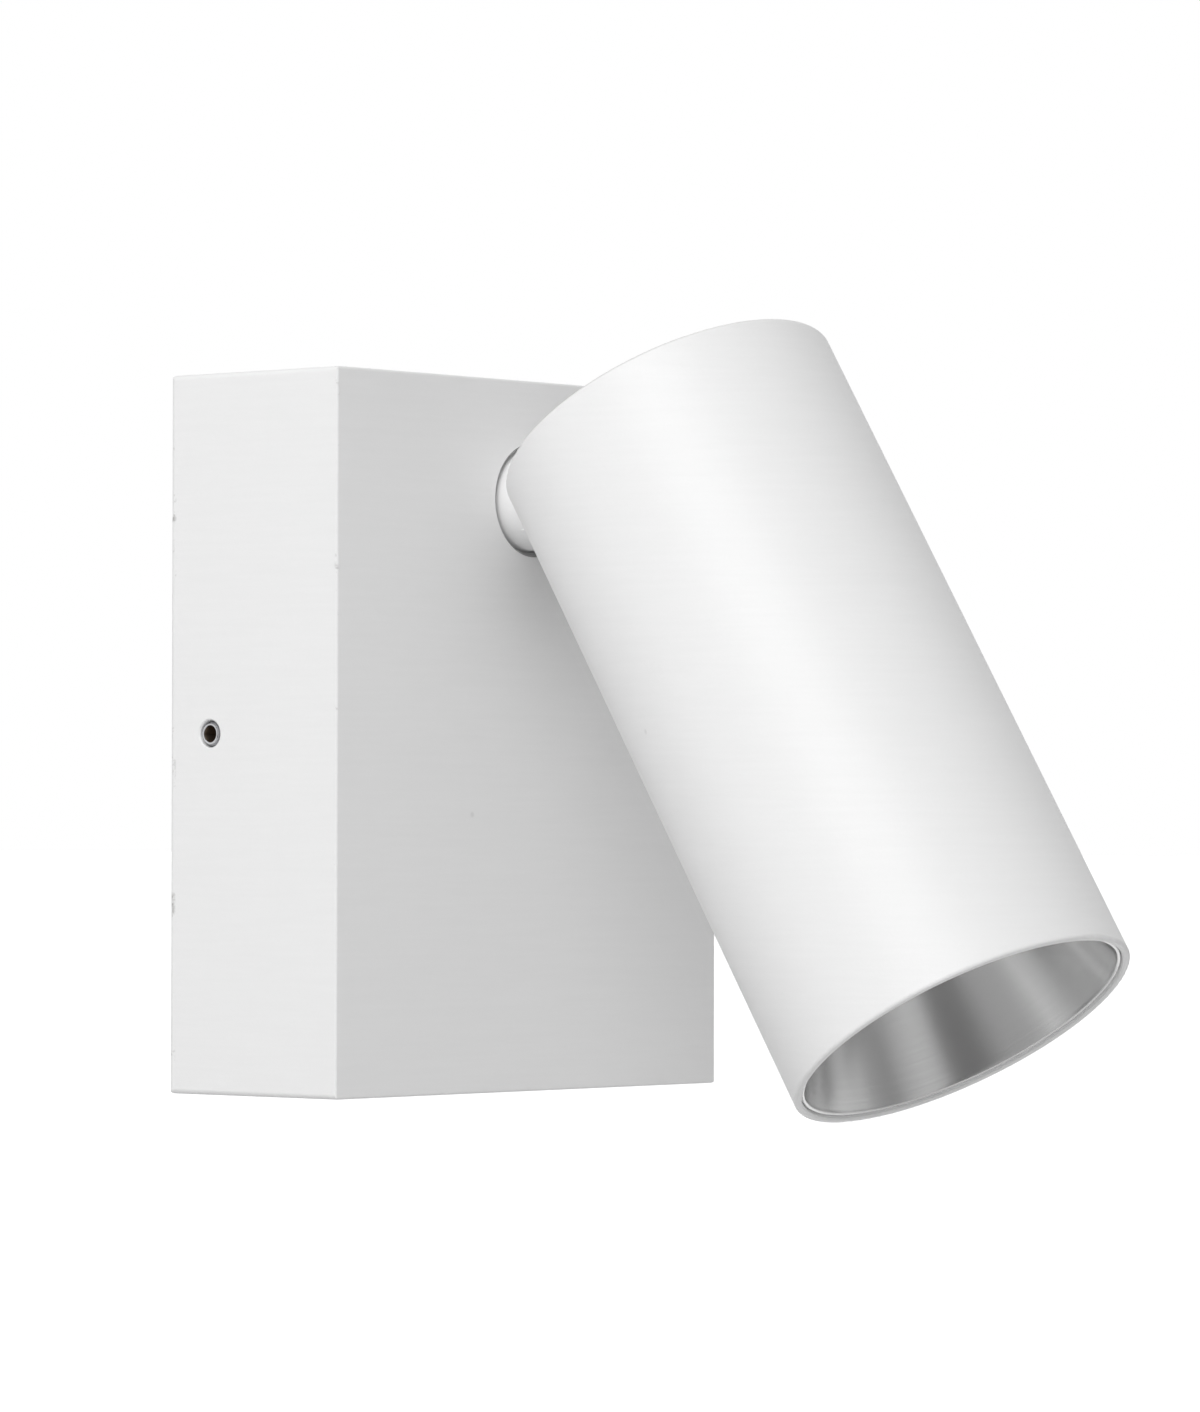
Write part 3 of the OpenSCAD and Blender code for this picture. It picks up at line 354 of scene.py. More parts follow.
class Finish(Nodes):
    """A node material, built round its shader."""

    def __init__(self, name, colour, metallic=0.0, roughness=0.5, **sockets):
        self.material = bpy.data.materials.new(name)
        self.material.use_nodes = True
        super().__init__(self.material.node_tree)
        self.shader = self.tree.nodes["Principled BSDF"]
        self.colour = (*colour, 1.0)
        sockets |= {"Base_Color": self.colour, "Metallic": metallic, "Roughness": roughness}
        for key, value in sockets.items():
            self.shader.inputs[key.replace("_", " ")].default_value = value
        self.place = self.node("TexCoord").outputs["Object"]

    def shows(self, node):
        """Puts a node in the shader's place."""
        self.put(self.tree.nodes["Material Output"].inputs["Surface"], node.outputs[0])

    def on(self, *nodes):
        """Gives CAD nodes this material."""
        for node in nodes:
            materials = NODES[node].data.materials
            materials.clear()
            materials.append(self.material)

    def seen_from(self, local):
        """Texture places in a local frame instead of the object's own."""
        back = local.inverted()
        node = self.node("Mapping", Vector=self.place, Location=back.to_translation(),
                         Rotation=back.to_euler())
        self.place = node.outputs["Vector"]
        return self

    def radius(self, a, b):
        """Distance from 0 of a point with two coordinates."""
        squares = [self.calc("MULTIPLY", c, c) for c in (a, b)]
        return self.calc("SQRT", self.calc("ADD", *squares))

    def axes(self, place=None):
        node = self.node("SeparateXYZ")
        self.put(node.inputs[0], place or self.place)
        return node.outputs

    def noise(self, size, detail=2.0, rough=0.5, stretch=(1, 1, 1)):
        """Noise with features of a size in metres, from 0 to 1."""
        stretched = self.node("VectorMath", operation="MULTIPLY")
        self.put(stretched.inputs[0], self.place)
        stretched.inputs[1].default_value = stretch
        return self.node("TexNoise", Vector=stretched.outputs[0], Scale=1 / size, Detail=detail,
                         Roughness=rough).outputs["Fac"]

    def cells(self, size):
        """Cells of a size in metres: distance to the middle, and a random number for each."""
        node = self.node("TexVoronoi", Vector=self.place, Scale=1 / size)
        return node.outputs["Distance"], self.axes(node.outputs["Color"])[0]

    def mixed(self, share, first, second):
        """A colour between two, by a share from 0 to 1."""
        node = self.node("Mix", data_type="RGBA", Factor=share)
        for socket, colour in zip([s for s in node.inputs if s.type == "RGBA"], (first, second)):
            linked = isinstance(colour, bpy.types.NodeSocket)
            self.put(socket, colour if linked else (*colour[:3], 1))
        return [s for s in node.outputs if s.type == "RGBA"][0]

    def coloured(self, share, other):
        """Goes over to another colour by a share from 0 to 1."""
        socket = self.shader.inputs["Base Color"]
        now = socket.links[0].from_socket if socket.links else self.colour
        self.put(socket, self.mixed(share, now, other))

    def toned(self, value, low, high, share, factor):
        """Goes over to a share of a lighter or darker tone where a value runs from low to high."""
        self.coloured(self.ramp(value, low, high, 0.0, share), lighter(self.colour, factor))

    def dulled(self, value, low, high):
        """Roughness that follows a value from 0 to 1."""
        self.put(self.shader.inputs["Roughness"], self.ramp(value, 0.0, 1.0, low, high))

    def bumped(self, height, depth):
        """Relief of a depth in metres, on top of what is there."""
        node = self.node("Bump", Strength=1.0, Distance=depth, Height=height)
        socket = self.shader.inputs["Normal"]
        if socket.links:
            self.put(node.inputs["Normal"], socket.links[0].from_socket)
        self.put(socket, node.outputs["Normal"])


def lighter(colour, factor):
    return tuple(min(1.0, c * factor) for c in colour)


def powder_coat(name, edge_chips=None):
    """White powder coat: fine grain and level streaks over a soft orange peel, and some dust."""
    look = bpy.context.scene.spotlight_paint
    f = Finish(name, look.colour, roughness=look.roughness, Specular_IOR_Level=look.gloss)
    peel, grain = f.noise(look.peel_size, 1.0), f.noise(look.grain_size, 3.0, 0.6)
    clouds, streaks = f.noise(0.02, 3.0), f.noise(0.0007, 3.0, 0.6, (0.05, 0.05, 1))
    f.toned(clouds, 0.35, 0.7, 0.35, 0.972)
    f.toned(grain, 0.3, 0.7, 0.5, 0.965)
    f.toned(streaks, 0.35, 0.65, 0.5, 0.965)
    # Every fifth cell holds a speck
    empty, faint = 0.8, 0.17
    distance, pick = f.cells(look.speck_pitch)
    spot = f.calc("MULTIPLY", f.ramp(distance, 0.02, 0.045, 1.0, 0.0),
                  f.calc("GREATER_THAN", pick, empty))
    f.coloured(f.calc("MULTIPLY", spot, faint), look.dust)
    if edge_chips:
        f.coloured(edge_chips(f), look.dust)
    f.dulled(grain, look.roughness - 0.06, look.roughness + 0.08)
    f.bumped(peel, look.peel_depth)
    f.bumped(grain, look.grain_depth)
    return f


def cover_chips(f):
    """Tiny chips in the paint along the left edges of the cover, at its front and at the wall."""
    low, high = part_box("base_cover")
    x, y = f.axes()[:2]
    off_x = f.calc("ABSOLUTE", f.calc("SUBTRACT", x, low.x))
    # For each edge: how far chips reach, their size, the noise at which they start, and their share
    edges = ((low.y, 0.0006, 0.006, 0.60, 0.5), (high.y, 0.0016, 0.009, 0.54, 0.9))
    shares = []
    for edge, reach, size, start, share in edges:
        near = f.calc("ADD", off_x, f.calc("ABSOLUTE", f.calc("SUBTRACT", y, edge)))
        patches = f.ramp(f.noise(size, 5.0, 0.75), start, start + 0.06)
        shares.append(f.calc("MULTIPLY", patches, f.ramp(near, reach / 3, reach, share, 0.0)))
    return f.calc("MAXIMUM", *shares)


def worked_metal(name, colour, roughness, grain=(1, 1, 1), blotch=0.1):
    """Bare metal with marks of its making, drawn out along one axis if grain says so."""
    f = Finish(name, colour, 1.0, roughness)
    lines = f.noise(0.0006, 4.0, 0.65, grain)
    clouds = f.noise(0.006, 3.0)
    f.toned(clouds, 0.3, 0.75, blotch * 4, 0.8)
    f.toned(lines, 0.35, 0.65, 0.4, 1.12)
    mixed = f.calc("ADD", f.calc("MULTIPLY", lines, 0.6), f.calc("MULTIPLY", clouds, 0.4))
    f.dulled(mixed, roughness * 0.75, roughness * 1.35)
    f.bumped(lines, 0.000004)
    return f


def spun_metal(name, colour, roughness, anisotropy, ring_size, depth=0.0000002):
    """Metal turned or spun round the piece's own Z, so its highlights run out from the axis."""
    f = Finish(name, colour, 1.0, roughness, Anisotropic=anisotropy, Anisotropic_Rotation=0.25)
    tangent = f.node("Tangent", direction_type="RADIAL", axis="Z")
    f.put(f.shader.inputs["Tangent"], tangent.outputs[0])
    x, y, z = f.axes()
    rings = f.node("TexNoise", noise_dimensions="1D", W=f.calc("ADD", f.radius(x, y), z),
                   Scale=1 / ring_size, Detail=3.0).outputs["Fac"]
    f.toned(rings, 0.35, 0.65, 0.5, 0.93)
    f.dulled(rings, roughness * 0.94, roughness * 1.08)
    f.bumped(rings, depth)
    return f


def moulded(name, colour, roughness=0.45, soft=0.0, peel=0.0008, depth=0.000006):
    """Moulded plastic or rubber: a faint grain from the mould and a little colour drift."""
    f = Finish(name, colour, 0.0, roughness, Specular_IOR_Level=0.45, Subsurface_Weight=soft,
               Subsurface_Radius=(0.0015, 0.0012, 0.001))
    grain, drift = f.noise(peel, 3.0, 0.6), f.noise(0.012, 2.0)
    f.toned(drift, 0.3, 0.7, 0.5, 0.92)
    f.dulled(grain, roughness - 0.06, roughness + 0.1)
    f.bumped(grain, depth)
    return f


def screw_steel(name, roughness=0.24):
    """Stainless steel, turned round the screw's own axis."""
    return spun_metal(name, bpy.context.scene.spotlight_metal.steel, roughness, 0.35, 0.0003)


# Fasteners


class Fastener:
    """Sizes of one CAD screw, in a frame whose Z points from its tip to its head."""

    def __init__(self, points):
        low, high, axis, radii = spread(points)
        self.place = upright(axis)
        self.head = radii.max()
        self.top, self.tip = high[2], low[2]
        self.seat = points[radii > 0.97 * self.head][:, 2].min()
        # A countersunk head narrows for 2 mm below its edge
        countersunk = self.top - self.seat < 0.0005
        below = points[:, 2] < self.seat - (0.002 if countersunk else CLOSE)
        self.shank = radii[below].max() if below.any() else self.head


def thread_rings(shank, start, end, pitch, depth):
    """Rings of a threaded shank from start down to a chamfered tip at end."""
    count = max(8, round(abs(end - start) / pitch * 6))
    flank = thread(shank, depth, pitch)
    rings = [(shank - depth, start)]
    for i in range(1, count):
        z = start + (end - start) * i / count
        left = abs(end - z)
        rings.append((limited(flank, shank - depth + left * 0.8), z))
    return rings + [(shank - 1.4 * depth, end), (0, end)]


def pan_head_screw(form, screw, pitch, depth):
    """Screw with a cross recess, a crowned head and a rolled thread."""
    rise = screw.top - screw.seat
    floor = screw.top - 0.72 * rise
    crown = [(math.sin(a) * screw.head, screw.seat + rise * (0.42 + 0.58 * math.cos(a) ** 0.8))
             for a in map(math.radians, (40, 52, 62, 70, 77, 83, 88))]
    edge = limited(recess(screw.head * 0.56, screw.head * 0.13, 4), screw.head * 0.6)

    def floor_edge(angle, z):
        return edge(angle, z) * 0.62

    rings = [(0, floor), (floor_edge, floor), (edge, crown[0][1])] + crown
    rings += [(screw.head, screw.seat + rise * 0.12), (screw.head * 0.97, screw.seat)]
    rings += thread_rings(screw.shank, screw.seat, screw.tip, pitch, depth)
    form.turned(rings, place=screw.place)


def terminal_screw(form, screw, pitch, depth):
    """Headless screw with a straight slot."""
    r, top = screw.head, screw.top
    slot = recess(r * 0.94, 0.0003, 2)
    rings = [(0, top - 0.0008), (slot, top - 0.0008), (slot, top - 0.0001), (r * 0.97, top),
             (r, top - 0.0001)] + thread_rings(r, top - 0.0007, screw.tip, pitch, depth)
    form.turned(rings, place=screw.place)


def countersunk_screw(form, screw, pitch, depth):
    """Screw with a flat head and a hexagon socket."""
    head, top, edge = screw.head, screw.top, hexagon(0.002)
    rings = [(0, top - 0.00125), (edge, top - 0.0011), (edge, top - 0.0001), (0.0013, top),
             (head - 0.0001, top), (head, top - 0.0001), (screw.shank + 0.0001, top - 0.0014)]
    rings += thread_rings(screw.shank, top - 0.0015, screw.tip, pitch, depth)
    form.turned(rings, place=screw.place)


def screws(node, body, local, pitch, steel, draw=pan_head_screw):
    """Makes all the screws of one CAD node, in a frame whose Z points out of their heads."""
    depth = pitch * bpy.context.scene.spotlight_metal.thread_depth
    form = Form()
    for points in solids(node, local):
        draw(form, Fastener(points), pitch, depth)
    form.piece(node + "_turned", body, [steel], [node], local)


def grub_screw(form, r, top, tip, pitch, depth):
    """Headless screw with a hexagon socket, chamfered ends and a cup point."""
    socket, floor, cup = 0.002, 0.0024, 0.0012
    edge = hexagon(socket)
    rim, wide = r * 0.78, socket / 2 * 1.34
    mouth = (wide * 0.97, top - 0.00006)
    # The socket's walls take the second finish, a dark painted shade
    form.turned([(0, top - floor * 1.18), (edge, top - floor), (edge, top - 0.0006), mouth],
                finish=1)
    rings = [mouth, (wide, top - 0.00001), (rim * 0.99, top), (rim, top - 0.00002),
             (r - depth * 0.5, top - r * 0.24)]
    start, end = top - r * 0.3, tip + r * 0.42
    count = round((start - end) / pitch * 8)
    flank = thread(r, depth, pitch)
    for i in range(count + 1):
        z = start + (end - start) * i / count
        room = min(start - z, z - end) * 0.9 + depth * 0.4
        rings.append((limited(flank, min(r, r - depth + room)), z))
    rings += [(r - depth * 1.1, end - 0.0001), (cup * 1.25, tip + 0.00002), (cup * 1.1, tip),
              (cup, tip + 0.00004), (0, tip + cup * 0.75)]
    form.turned(rings)


def nut(form, axis, radius, bottom, top, bore, pitch, depth):
    """Hexagon nut with chamfered corners and a threaded bore."""
    half = radius * FLATS
    flats, step = hexagon(half * 2), (radius - half) * 0.58 / 4
    chamfer = [(limited(flats, half * 0.98 + i * step / 0.58), i * step) for i in range(5)]
    rings = [(shape, bottom + z) for shape, z in chamfer]
    rings += [(shape, top - z) for shape, z in chamfer[::-1]]
    rings.append((bore + depth * 0.4, top))
    count = max(6, round((top - bottom) / pitch * 6))
    flank = thread(bore, depth, pitch)
    rings += [(flank, top - 0.0002 - (top - bottom - 0.0004) * i / count) for i in range(count + 1)]
    rings.append((bore + depth * 0.4, bottom))
    form.turned(rings, 60, upright(axis), loop=True)


# Settings


def setting(kind, name, description, low, high, default, **more):
    """A number in the panel, of one of Blender's subtypes or in one of its units."""
    if kind:
        more["subtype" if kind in ("FACTOR", "ANGLE") else "unit"] = kind
    return bpy.props.FloatProperty(name=name, description=description, min=low, max=high,
                                   default=default, **more)


def colour_setting(name, description, default):
    return bpy.props.FloatVectorProperty(name=name, description=description, subtype="COLOR",
                                         size=3, min=0, max=1, default=default)


class SpotlightPaint(bpy.types.PropertyGroup):
    colour: colour_setting("Paint colour", "Colour of the powder coat", COLOURS["white_paint"])
    # Also the colour towards which the tube's rear rim is darkened as painted shade
    dust: colour_setting("Dust colour", "Colour of specks and chips in the paint",
                         (0.32, 0.31, 0.30))
    roughness: setting("FACTOR", "Roughness", "How matt the paint is", 0.1, 1, 0.42)
    gloss: setting("FACTOR", "Gloss", "Strength of the paint's reflections", 0, 1, 0.5)
    grain_size: setting("LENGTH", "Grain size", "Size of the fine grain",
                        0.0001, 0.002, 0.00035, precision=5)
    grain_depth: setting("LENGTH", "Grain depth", "Depth of the fine grain",
                         0, 0.0001, 0.000012, precision=6)
    peel_size: setting("LENGTH", "Orange peel size", "Size of the paint's soft waves",
                       0.0005, 0.01, 0.0018, precision=5)
    peel_depth: setting("LENGTH", "Orange peel depth", "Depth of the paint's soft waves",
                        0, 0.0001, 0.000012, precision=6)
    speck_pitch: setting("LENGTH", "Speck distance", "Distance between specks of dust",
                         0.002, 0.05, 0.012, precision=4)


class SpotlightMetal(bpy.types.PropertyGroup):
    zinc: colour_setting("Zinc plate", "Colour of the zinc-plated sheet", COLOURS["zinc_plate"])
    steel: colour_setting("Screw steel", "Colour of the screws", COLOURS["screw_steel"])
    brass: colour_setting("Brass", "Colour of nuts, posts and clamps", COLOURS["brass"])
    aluminium: colour_setting("Heat sink", "Colour of the heat sink", COLOURS["sink_aluminium"])
    reflector: colour_setting("Reflector", "Colour of the spun reflector",
                              COLOURS["reflector_aluminium"])
    reflector_roughness: setting("FACTOR", "Reflector roughness", "How satin the reflector is",
                                 0.02, 1, 0.2)
    thread_depth: setting("FACTOR", "Thread depth", "Depth of a thread as a share of its pitch",
                          0.2, 0.7, 0.5)


class SpotlightStage(bpy.types.PropertyGroup):
    floor_colour: colour_setting("Floor colour", "Colour of the floor", (0.74, 0.74, 0.74))
    floor_drop: setting("LENGTH", "Floor drop", "Height of the light above the floor", 0, 2, 0.12)
    ambient: setting(None, "Room light", "Brightness of the room", 0, 2, 0.45)
    key_power: setting("POWER", "Main lamp", "Power of the large lamp on the left", 0, 100, 14.3)
    fill_power: setting("POWER", "Fill lamp", "Power of the lamp behind on the left", 0, 100, 0.6)
    lens: setting("CAMERA", "Lens", "Focal length of the camera", 10, 400, 164.72)
    distance: setting("LENGTH", "Distance", "Distance from the camera to its target",
                      0.1, 10, 1.06723)
    azimuth: setting("ANGLE", "Azimuth", "Angle of the camera round the light",
                     -math.pi, math.pi, math.radians(-49.38))
    elevation: setting("ANGLE", "Elevation", "Angle of the camera above the light",
                       -math.pi / 2, math.pi / 2, math.radians(-1.08))
    roll: setting("ANGLE", "Roll", "Turn of the camera round its own axis",
                  -math.pi, math.pi, math.radians(0.10))
    target: bpy.props.FloatVectorProperty(
        name="Target", description="Point that the camera looks at", subtype="XYZ", unit="LENGTH",
        size=3, default=(0.0569, 0.0, 0.0059))


# Operators


class SPOTLIGHT_OT_camera(bpy.types.Operator):
    """Puts the camera at the photograph's place"""
    bl_idname = "spotlight.camera"
    bl_label = "Camera"

    def execute(self, context):
        view = context.scene.spotlight_stage
        across, up = math.cos(view.elevation), math.sin(view.elevation)
        back = Vector((math.sin(view.azimuth) * across, -math.cos(view.azimuth) * across, up))
        right = (-back).cross(Vector((0, 0, 1))).normalized()
        top = right.cross(-back)
        c, s = math.cos(view.roll), math.sin(view.roll)
        x, y = right * c + top * s, top * c - right * s
        lens = bpy.data.cameras.new("camera")
        lens.lens = view.lens
        lens.sensor_width = 36
        lens.clip_start = 0.01
        turn = Matrix((x, y, back)).transposed().to_4x4()
        place = Matrix.Translation(Vector(view.target) + back * view.distance) @ turn
        context.scene.camera = placed("camera", lens, place)
        return {"FINISHED"}


def lamp(name, direction, distance, width, height, power):
    """A soft rectangular lamp that faces the middle of the light from a direction."""
    light = bpy.data.lights.new(name, "AREA")
    light.shape = "RECTANGLE"
    light.size, light.size_y = width, height
    light.energy = power
    way = Vector(direction).normalized()
    placed(name, light, Matrix.Translation(LIT_POINT + way * distance)
           @ way.to_track_quat("Z", "Y").to_matrix().to_4x4())


# Grey screens round the tube's mouth: azimuth in degrees (0 in front, 90 on the
# right) and tone
SCREENS = ((-180, 0.30), (-143, 0.26), (-130, 0.35), (-118, 0.48), (-107, 0.58), (-97, 0.45),
           (-88, 0.37), (-79, 0.35), (-70, 0.34), (-62, 0.27), (-54, 0.17), (-44, 0.15),
           (-38, 0.16), (-33, 0.22), (-29, 0.38), (-24, 0.48), (-16, 0.52), (-6, 0.45),
           (0, 0.38), (7, 0.29), (13, 0.27), (20, 0.30), (27, 0.36), (35, 0.50), (43, 0.54),
           (60, 0.62), (80, 0.65), (100, 0.95), (145, 0.95), (165, 0.40))


class SPOTLIGHT_OT_stage(bpy.types.Operator):
    """Makes the pale floor, the white room and the soft lamps"""
    bl_idname = "spotlight.stage"
    bl_label = "Stage"

    def execute(self, context):
        setup = context.scene.spotlight_stage
        context.scene.view_settings.view_transform = "Standard"
        self.room(context.scene, setup)
        self.floor(setup)
        self.surround()
        lamp("main_lamp", (-0.76, -0.30, 0.58), 1.6, 1.1, 1.1, setup.key_power)
        lamp("fill_lamp", (-0.70, 0.70, -0.10), 1.5, 1.0, 1.0, setup.fill_power)
        return {"FINISHED"}

    def room(self, scene, setup):
        """A white room that lights paint less than it shows in the picture and in metal."""
        scene.world = bpy.data.worlds.new("room")
        scene.world.use_nodes = True
        room = Nodes(scene.world.node_tree)
        rays = room.node("LightPath").outputs
        seen = room.calc("MAXIMUM", rays["Is Camera Ray"], rays["Is Transmission Ray"])
        seen = room.calc("MAXIMUM", seen, rays["Is Glossy Ray"])
        background = room.tree.nodes["Background"]
        background.inputs["Color"].default_value = (1, 1, 1, 1)
        room.put(background.inputs["Strength"], room.ramp(seen, 0.0, 1.0, setup.ambient, 1.0))

    def surround(self):
        """Studio screens round the tube's mouth, which only metal and gloss reflect.

        They form one bowl, whose tone changes with the azimuth. The back left is pale from about
        the mouth's height upwards.
        """
        mouth = HEAD @ Vector((0, 0, node_points("tube_body", HEAD)[:, 2].max()))
        form = Form()
        form.turned([(0.14, -0.125), (0.9, -0.125), (0.9, 2.2)], 96)
        f = Finish("surround", (0, 0, 0))
        x, y, z = f.axes()
        turn = f.calc("DIVIDE", f.calc("ARCTAN2", x, f.calc("MULTIPLY", y, -1.0)), TURN)
        stops = f.node("ValToRGB", Fac=f.calc("ADD", turn, 0.5))
        ramp = stops.color_ramp
        for angle, tone in SCREENS[1:-1]:
            ramp.elements.new(angle / 360 + 0.5)
        for stop, (angle, tone) in zip(ramp.elements, SCREENS):
            stop.position = angle / 360 + 0.5
            stop.color = (tone, tone, tone, 1)
        behind = f.calc("MULTIPLY", f.ramp(z, -0.1, 0.0), f.ramp(turn, -0.36, -0.30, 1.0, 0.0))
        f.shows(f.node("Emission", Color=f.mixed(behind, stops.outputs[0], (0.95, 0.95, 0.95))))
        bowl = mesh_object("surround", form.points, form.faces, [f], Matrix.Translation(mouth))
        bowl.visible_camera = bowl.visible_diffuse = bowl.visible_shadow = False

    def floor(self, setup):
        """A pale floor, a little brighter to the camera, so that it fades into the white room."""
        f = Finish("floor", setup.floor_colour, roughness=0.9, Specular_IOR_Level=0.1)
        f.toned(f.noise(0.4, 2.0), 0.3, 0.7, 0.3, 0.98)
        seen = f.node("LightPath").outputs["Is Camera Ray"]
        away = f.node("VectorMath", operation="LENGTH", Vector=f.place).outputs["Value"]
        near, far, near_glow, far_glow = 0.4, 2.5, 0.62, 0.82
        lift = f.ramp(away, near, far, near_glow, far_glow)
        glow = f.node("Emission", Strength=f.calc("MULTIPLY", seen, lift))
        both = f.node("AddShader")
        f.put(both.inputs[0], f.shader.outputs[0])
        f.put(both.inputs[1], glow.outputs[0])
        f.shows(both)
        half = 30
        low = cad_box[0][2] - setup.floor_drop
        corners = [(-half, -half, low), (half, -half, low), (half, half, low), (-half, half, low)]
        floor = mesh_object("floor", corners, [(0, 1, 2, 3)], [f])


class SPOTLIGHT_OT_base_cover(bpy.types.Operator):
    """Paints the box-shaped cover"""
    bl_idname = "spotlight.base_cover"
    bl_label = "Base cover"

    def execute(self, context):
        f = powder_coat("cover_paint", cover_chips)
        x, y, z = f.axes()
        away = f.radius(f.calc("SUBTRACT", x, SWIVEL_AXIS.x), f.calc("SUBTRACT", z, SWIVEL_AXIS.z))
        front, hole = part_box("base_cover")[0].y, 0.00882
        # Painted shade: the paint inside the swivel's hole is darkened to half its colour, standing in for the
        # shade under the boss
        hole_shade = f.calc("MULTIPLY", f.calc("LESS_THAN", away, hole),
                         f.ramp(y, front + 0.0001, front + 0.0005))
        f.coloured(hole_shade, lighter(f.colour, 0.5))
        f.on("base_cover")
        return {"FINISHED"}


class SPOTLIGHT_OT_wall_plate(bpy.types.Operator):
    """Finishes the zinc-plated wall plate and its rubber grommet"""
    bl_idname = "spotlight.wall_plate"
    bl_label = "Wall plate"

    def execute(self, context):
        zinc = context.scene.spotlight_metal.zinc
        worked_metal("wall_plate_zinc", zinc, 0.34, (1, 1, 0.06), blotch=0.16).on("wall_plate")
        rubber = moulded("grommet_rubber", COLOURS["black_rubber"], 0.62, depth=0.000015)
        rubber.on("cable_grommet")
        return {"FINISHED"}


class SPOTLIGHT_OT_grub_screws(bpy.types.Operator):
    """Makes the two socket screws in the cover's sides"""
    bl_idname = "spotlight.grub_screws"
    bl_label = "Cover screws"

    def execute(self, context):
        pitch = 0.0007
        depth = pitch * context.scene.spotlight_metal.thread_depth
        steel = screw_steel("grub_screw_steel", 0.14)
        # Painted shade: a dark brown copy of the steel for the socket's walls, where shade falls deep in the
        # socket
        socket = worked_metal("grub_socket_shade", (0.25, 0.20, 0.16), 0.42, blotch=0.2)
        for name, way in (("grub_screw_left", (-1, 0, 0)), ("grub_screw_right", (1, 0, 0))):
            local = frame_along((0, 0, 0), way, (0, 1, 0))
            low, high, axis, radii = spread(outermost("cover_grub_screws", local))
            form = Form()
            grub_screw(form, (high[0] - low[0]) / 2, high[2], low[2], pitch, depth)
            form.piece(name, "base", [steel, socket], ["cover_grub_screws"],
                       local @ upright(axis))
        return {"FINISHED"}


class SPOTLIGHT_OT_plate_screws(bpy.types.Operator):
    """Makes the screws of the swivel plate, the driver and the terminal block"""
    bl_idname = "spotlight.plate_screws"
    bl_label = "Screws in the base"

    def execute(self, context):
        steel = screw_steel("base_screw_steel")
        inward, outward = frame_along((0, 0, 0), INTO_WALL), frame_along((0, 0, 0), -INTO_WALL)
        screws("swivel_plate_screws", "base", inward, 0.0005, steel)
        screws("driver_screws", "base", inward, 0.0008, steel)
        screws("terminal_fixing_screw", "base", outward, 0.0007, steel)
        screws("terminal_screws", "base", outward, 0.0005, steel, terminal_screw)
        return {"FINISHED"}


class SPOTLIGHT_OT_swivel(bpy.types.Operator):
    """Finishes the swivel's plate, bush, washers, nuts and stop pin"""
    bl_idname = "spotlight.swivel"
    bl_label = "Swivel"

    def execute(self, context):
        metal = context.scene.spotlight_metal
        zinc = worked_metal("swivel_zinc", metal.zinc, 0.34, (0.06, 1, 1))
        zinc.on("swivel_plate", "stop_washer")
        moulded("bush_nylon", COLOURS["white_nylon"], 0.4, 0.1).on("swivel_bush")
        moulded("washer_nylon", COLOURS["black_nylon"], 0.5).on("swivel_washer")
        worked_metal("spring_steel", metal.steel, 0.28).on("wave_washer")
        worked_metal("pin_steel", metal.steel, 0.26, (1, 0.1, 1)).on("stop_pin")
        local = frame_along(SWIVEL_AXIS, INTO_WALL)
        bore, pitch, depth = 0.005, 0.001, 0.00025
        form = Form()
        for points in solids("stem_nuts", local):
            low, high, axis, radii = spread(points)
            nut(form, axis, radii.max(), low[2], high[2], bore, pitch, depth)
        brass = worked_metal("nut_brass", metal.brass, 0.25)
        form.piece("stem_nuts_cut", "swivel", [brass], ["stem_nuts"], local)
        return {"FINISHED"}


class SPOTLIGHT_OT_arm(bpy.types.Operator):
    """Paints the arm in front of its flange, leaves its threaded stem bare and rounds its boss"""
    bl_idname = "spotlight.arm"
    bl_label = "Swivel arm"

    def execute(self, context):
        f = powder_coat("arm_paint")
        x, y, z = f.axes()
        bare = f.calc("GREATER_THAN", y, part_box("swivel_washer")[1].y)
        f.coloured(bare, context.scene.spotlight_metal.zinc)
        f.put(f.shader.inputs["Metallic"], bare)
        # A thread of 1 mm pitch runs on the stem from the bush backwards
        up = f.calc("SUBTRACT", z, SWIVEL_AXIS.z)
        turn = f.calc("DIVIDE", f.calc("ARCTAN2", up, x), TURN)
        wave = f.calc("PINGPONG", f.calc("SUBTRACT", f.calc("MULTIPLY", y, 1000.0), turn), 0.5)
        start = f.calc("GREATER_THAN", y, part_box("swivel_bush")[1].y)
        f.bumped(f.calc("MULTIPLY", wave, start), 0.0009)
        f.on("swivel_arm")
        # The boss over the arm's straight one: a foot in the hole and a rounded shoulder
        reach, core, face = 0.00778, 0.006, 0.0374
        shoulder = reach - core
        foot = [(0.0071, 0.0333), (0.00812, 0.0333), (0.00812, 0.0336), (0.00798, 0.0337),
                (0.00785, 0.0339), (reach, 0.0342)]
        form = Form()
        form.turned(foot + arc(core, face, shoulder, range(0, 91, 6)) + [(0, face + shoulder)], 96)
        place = frame_along((SWIVEL_AXIS.x, 0, SWIVEL_AXIS.z), -INTO_WALL)
        form.piece("arm_boss", "swivel", [powder_coat("boss_paint")], (), place)
        return {"FINISHED"}


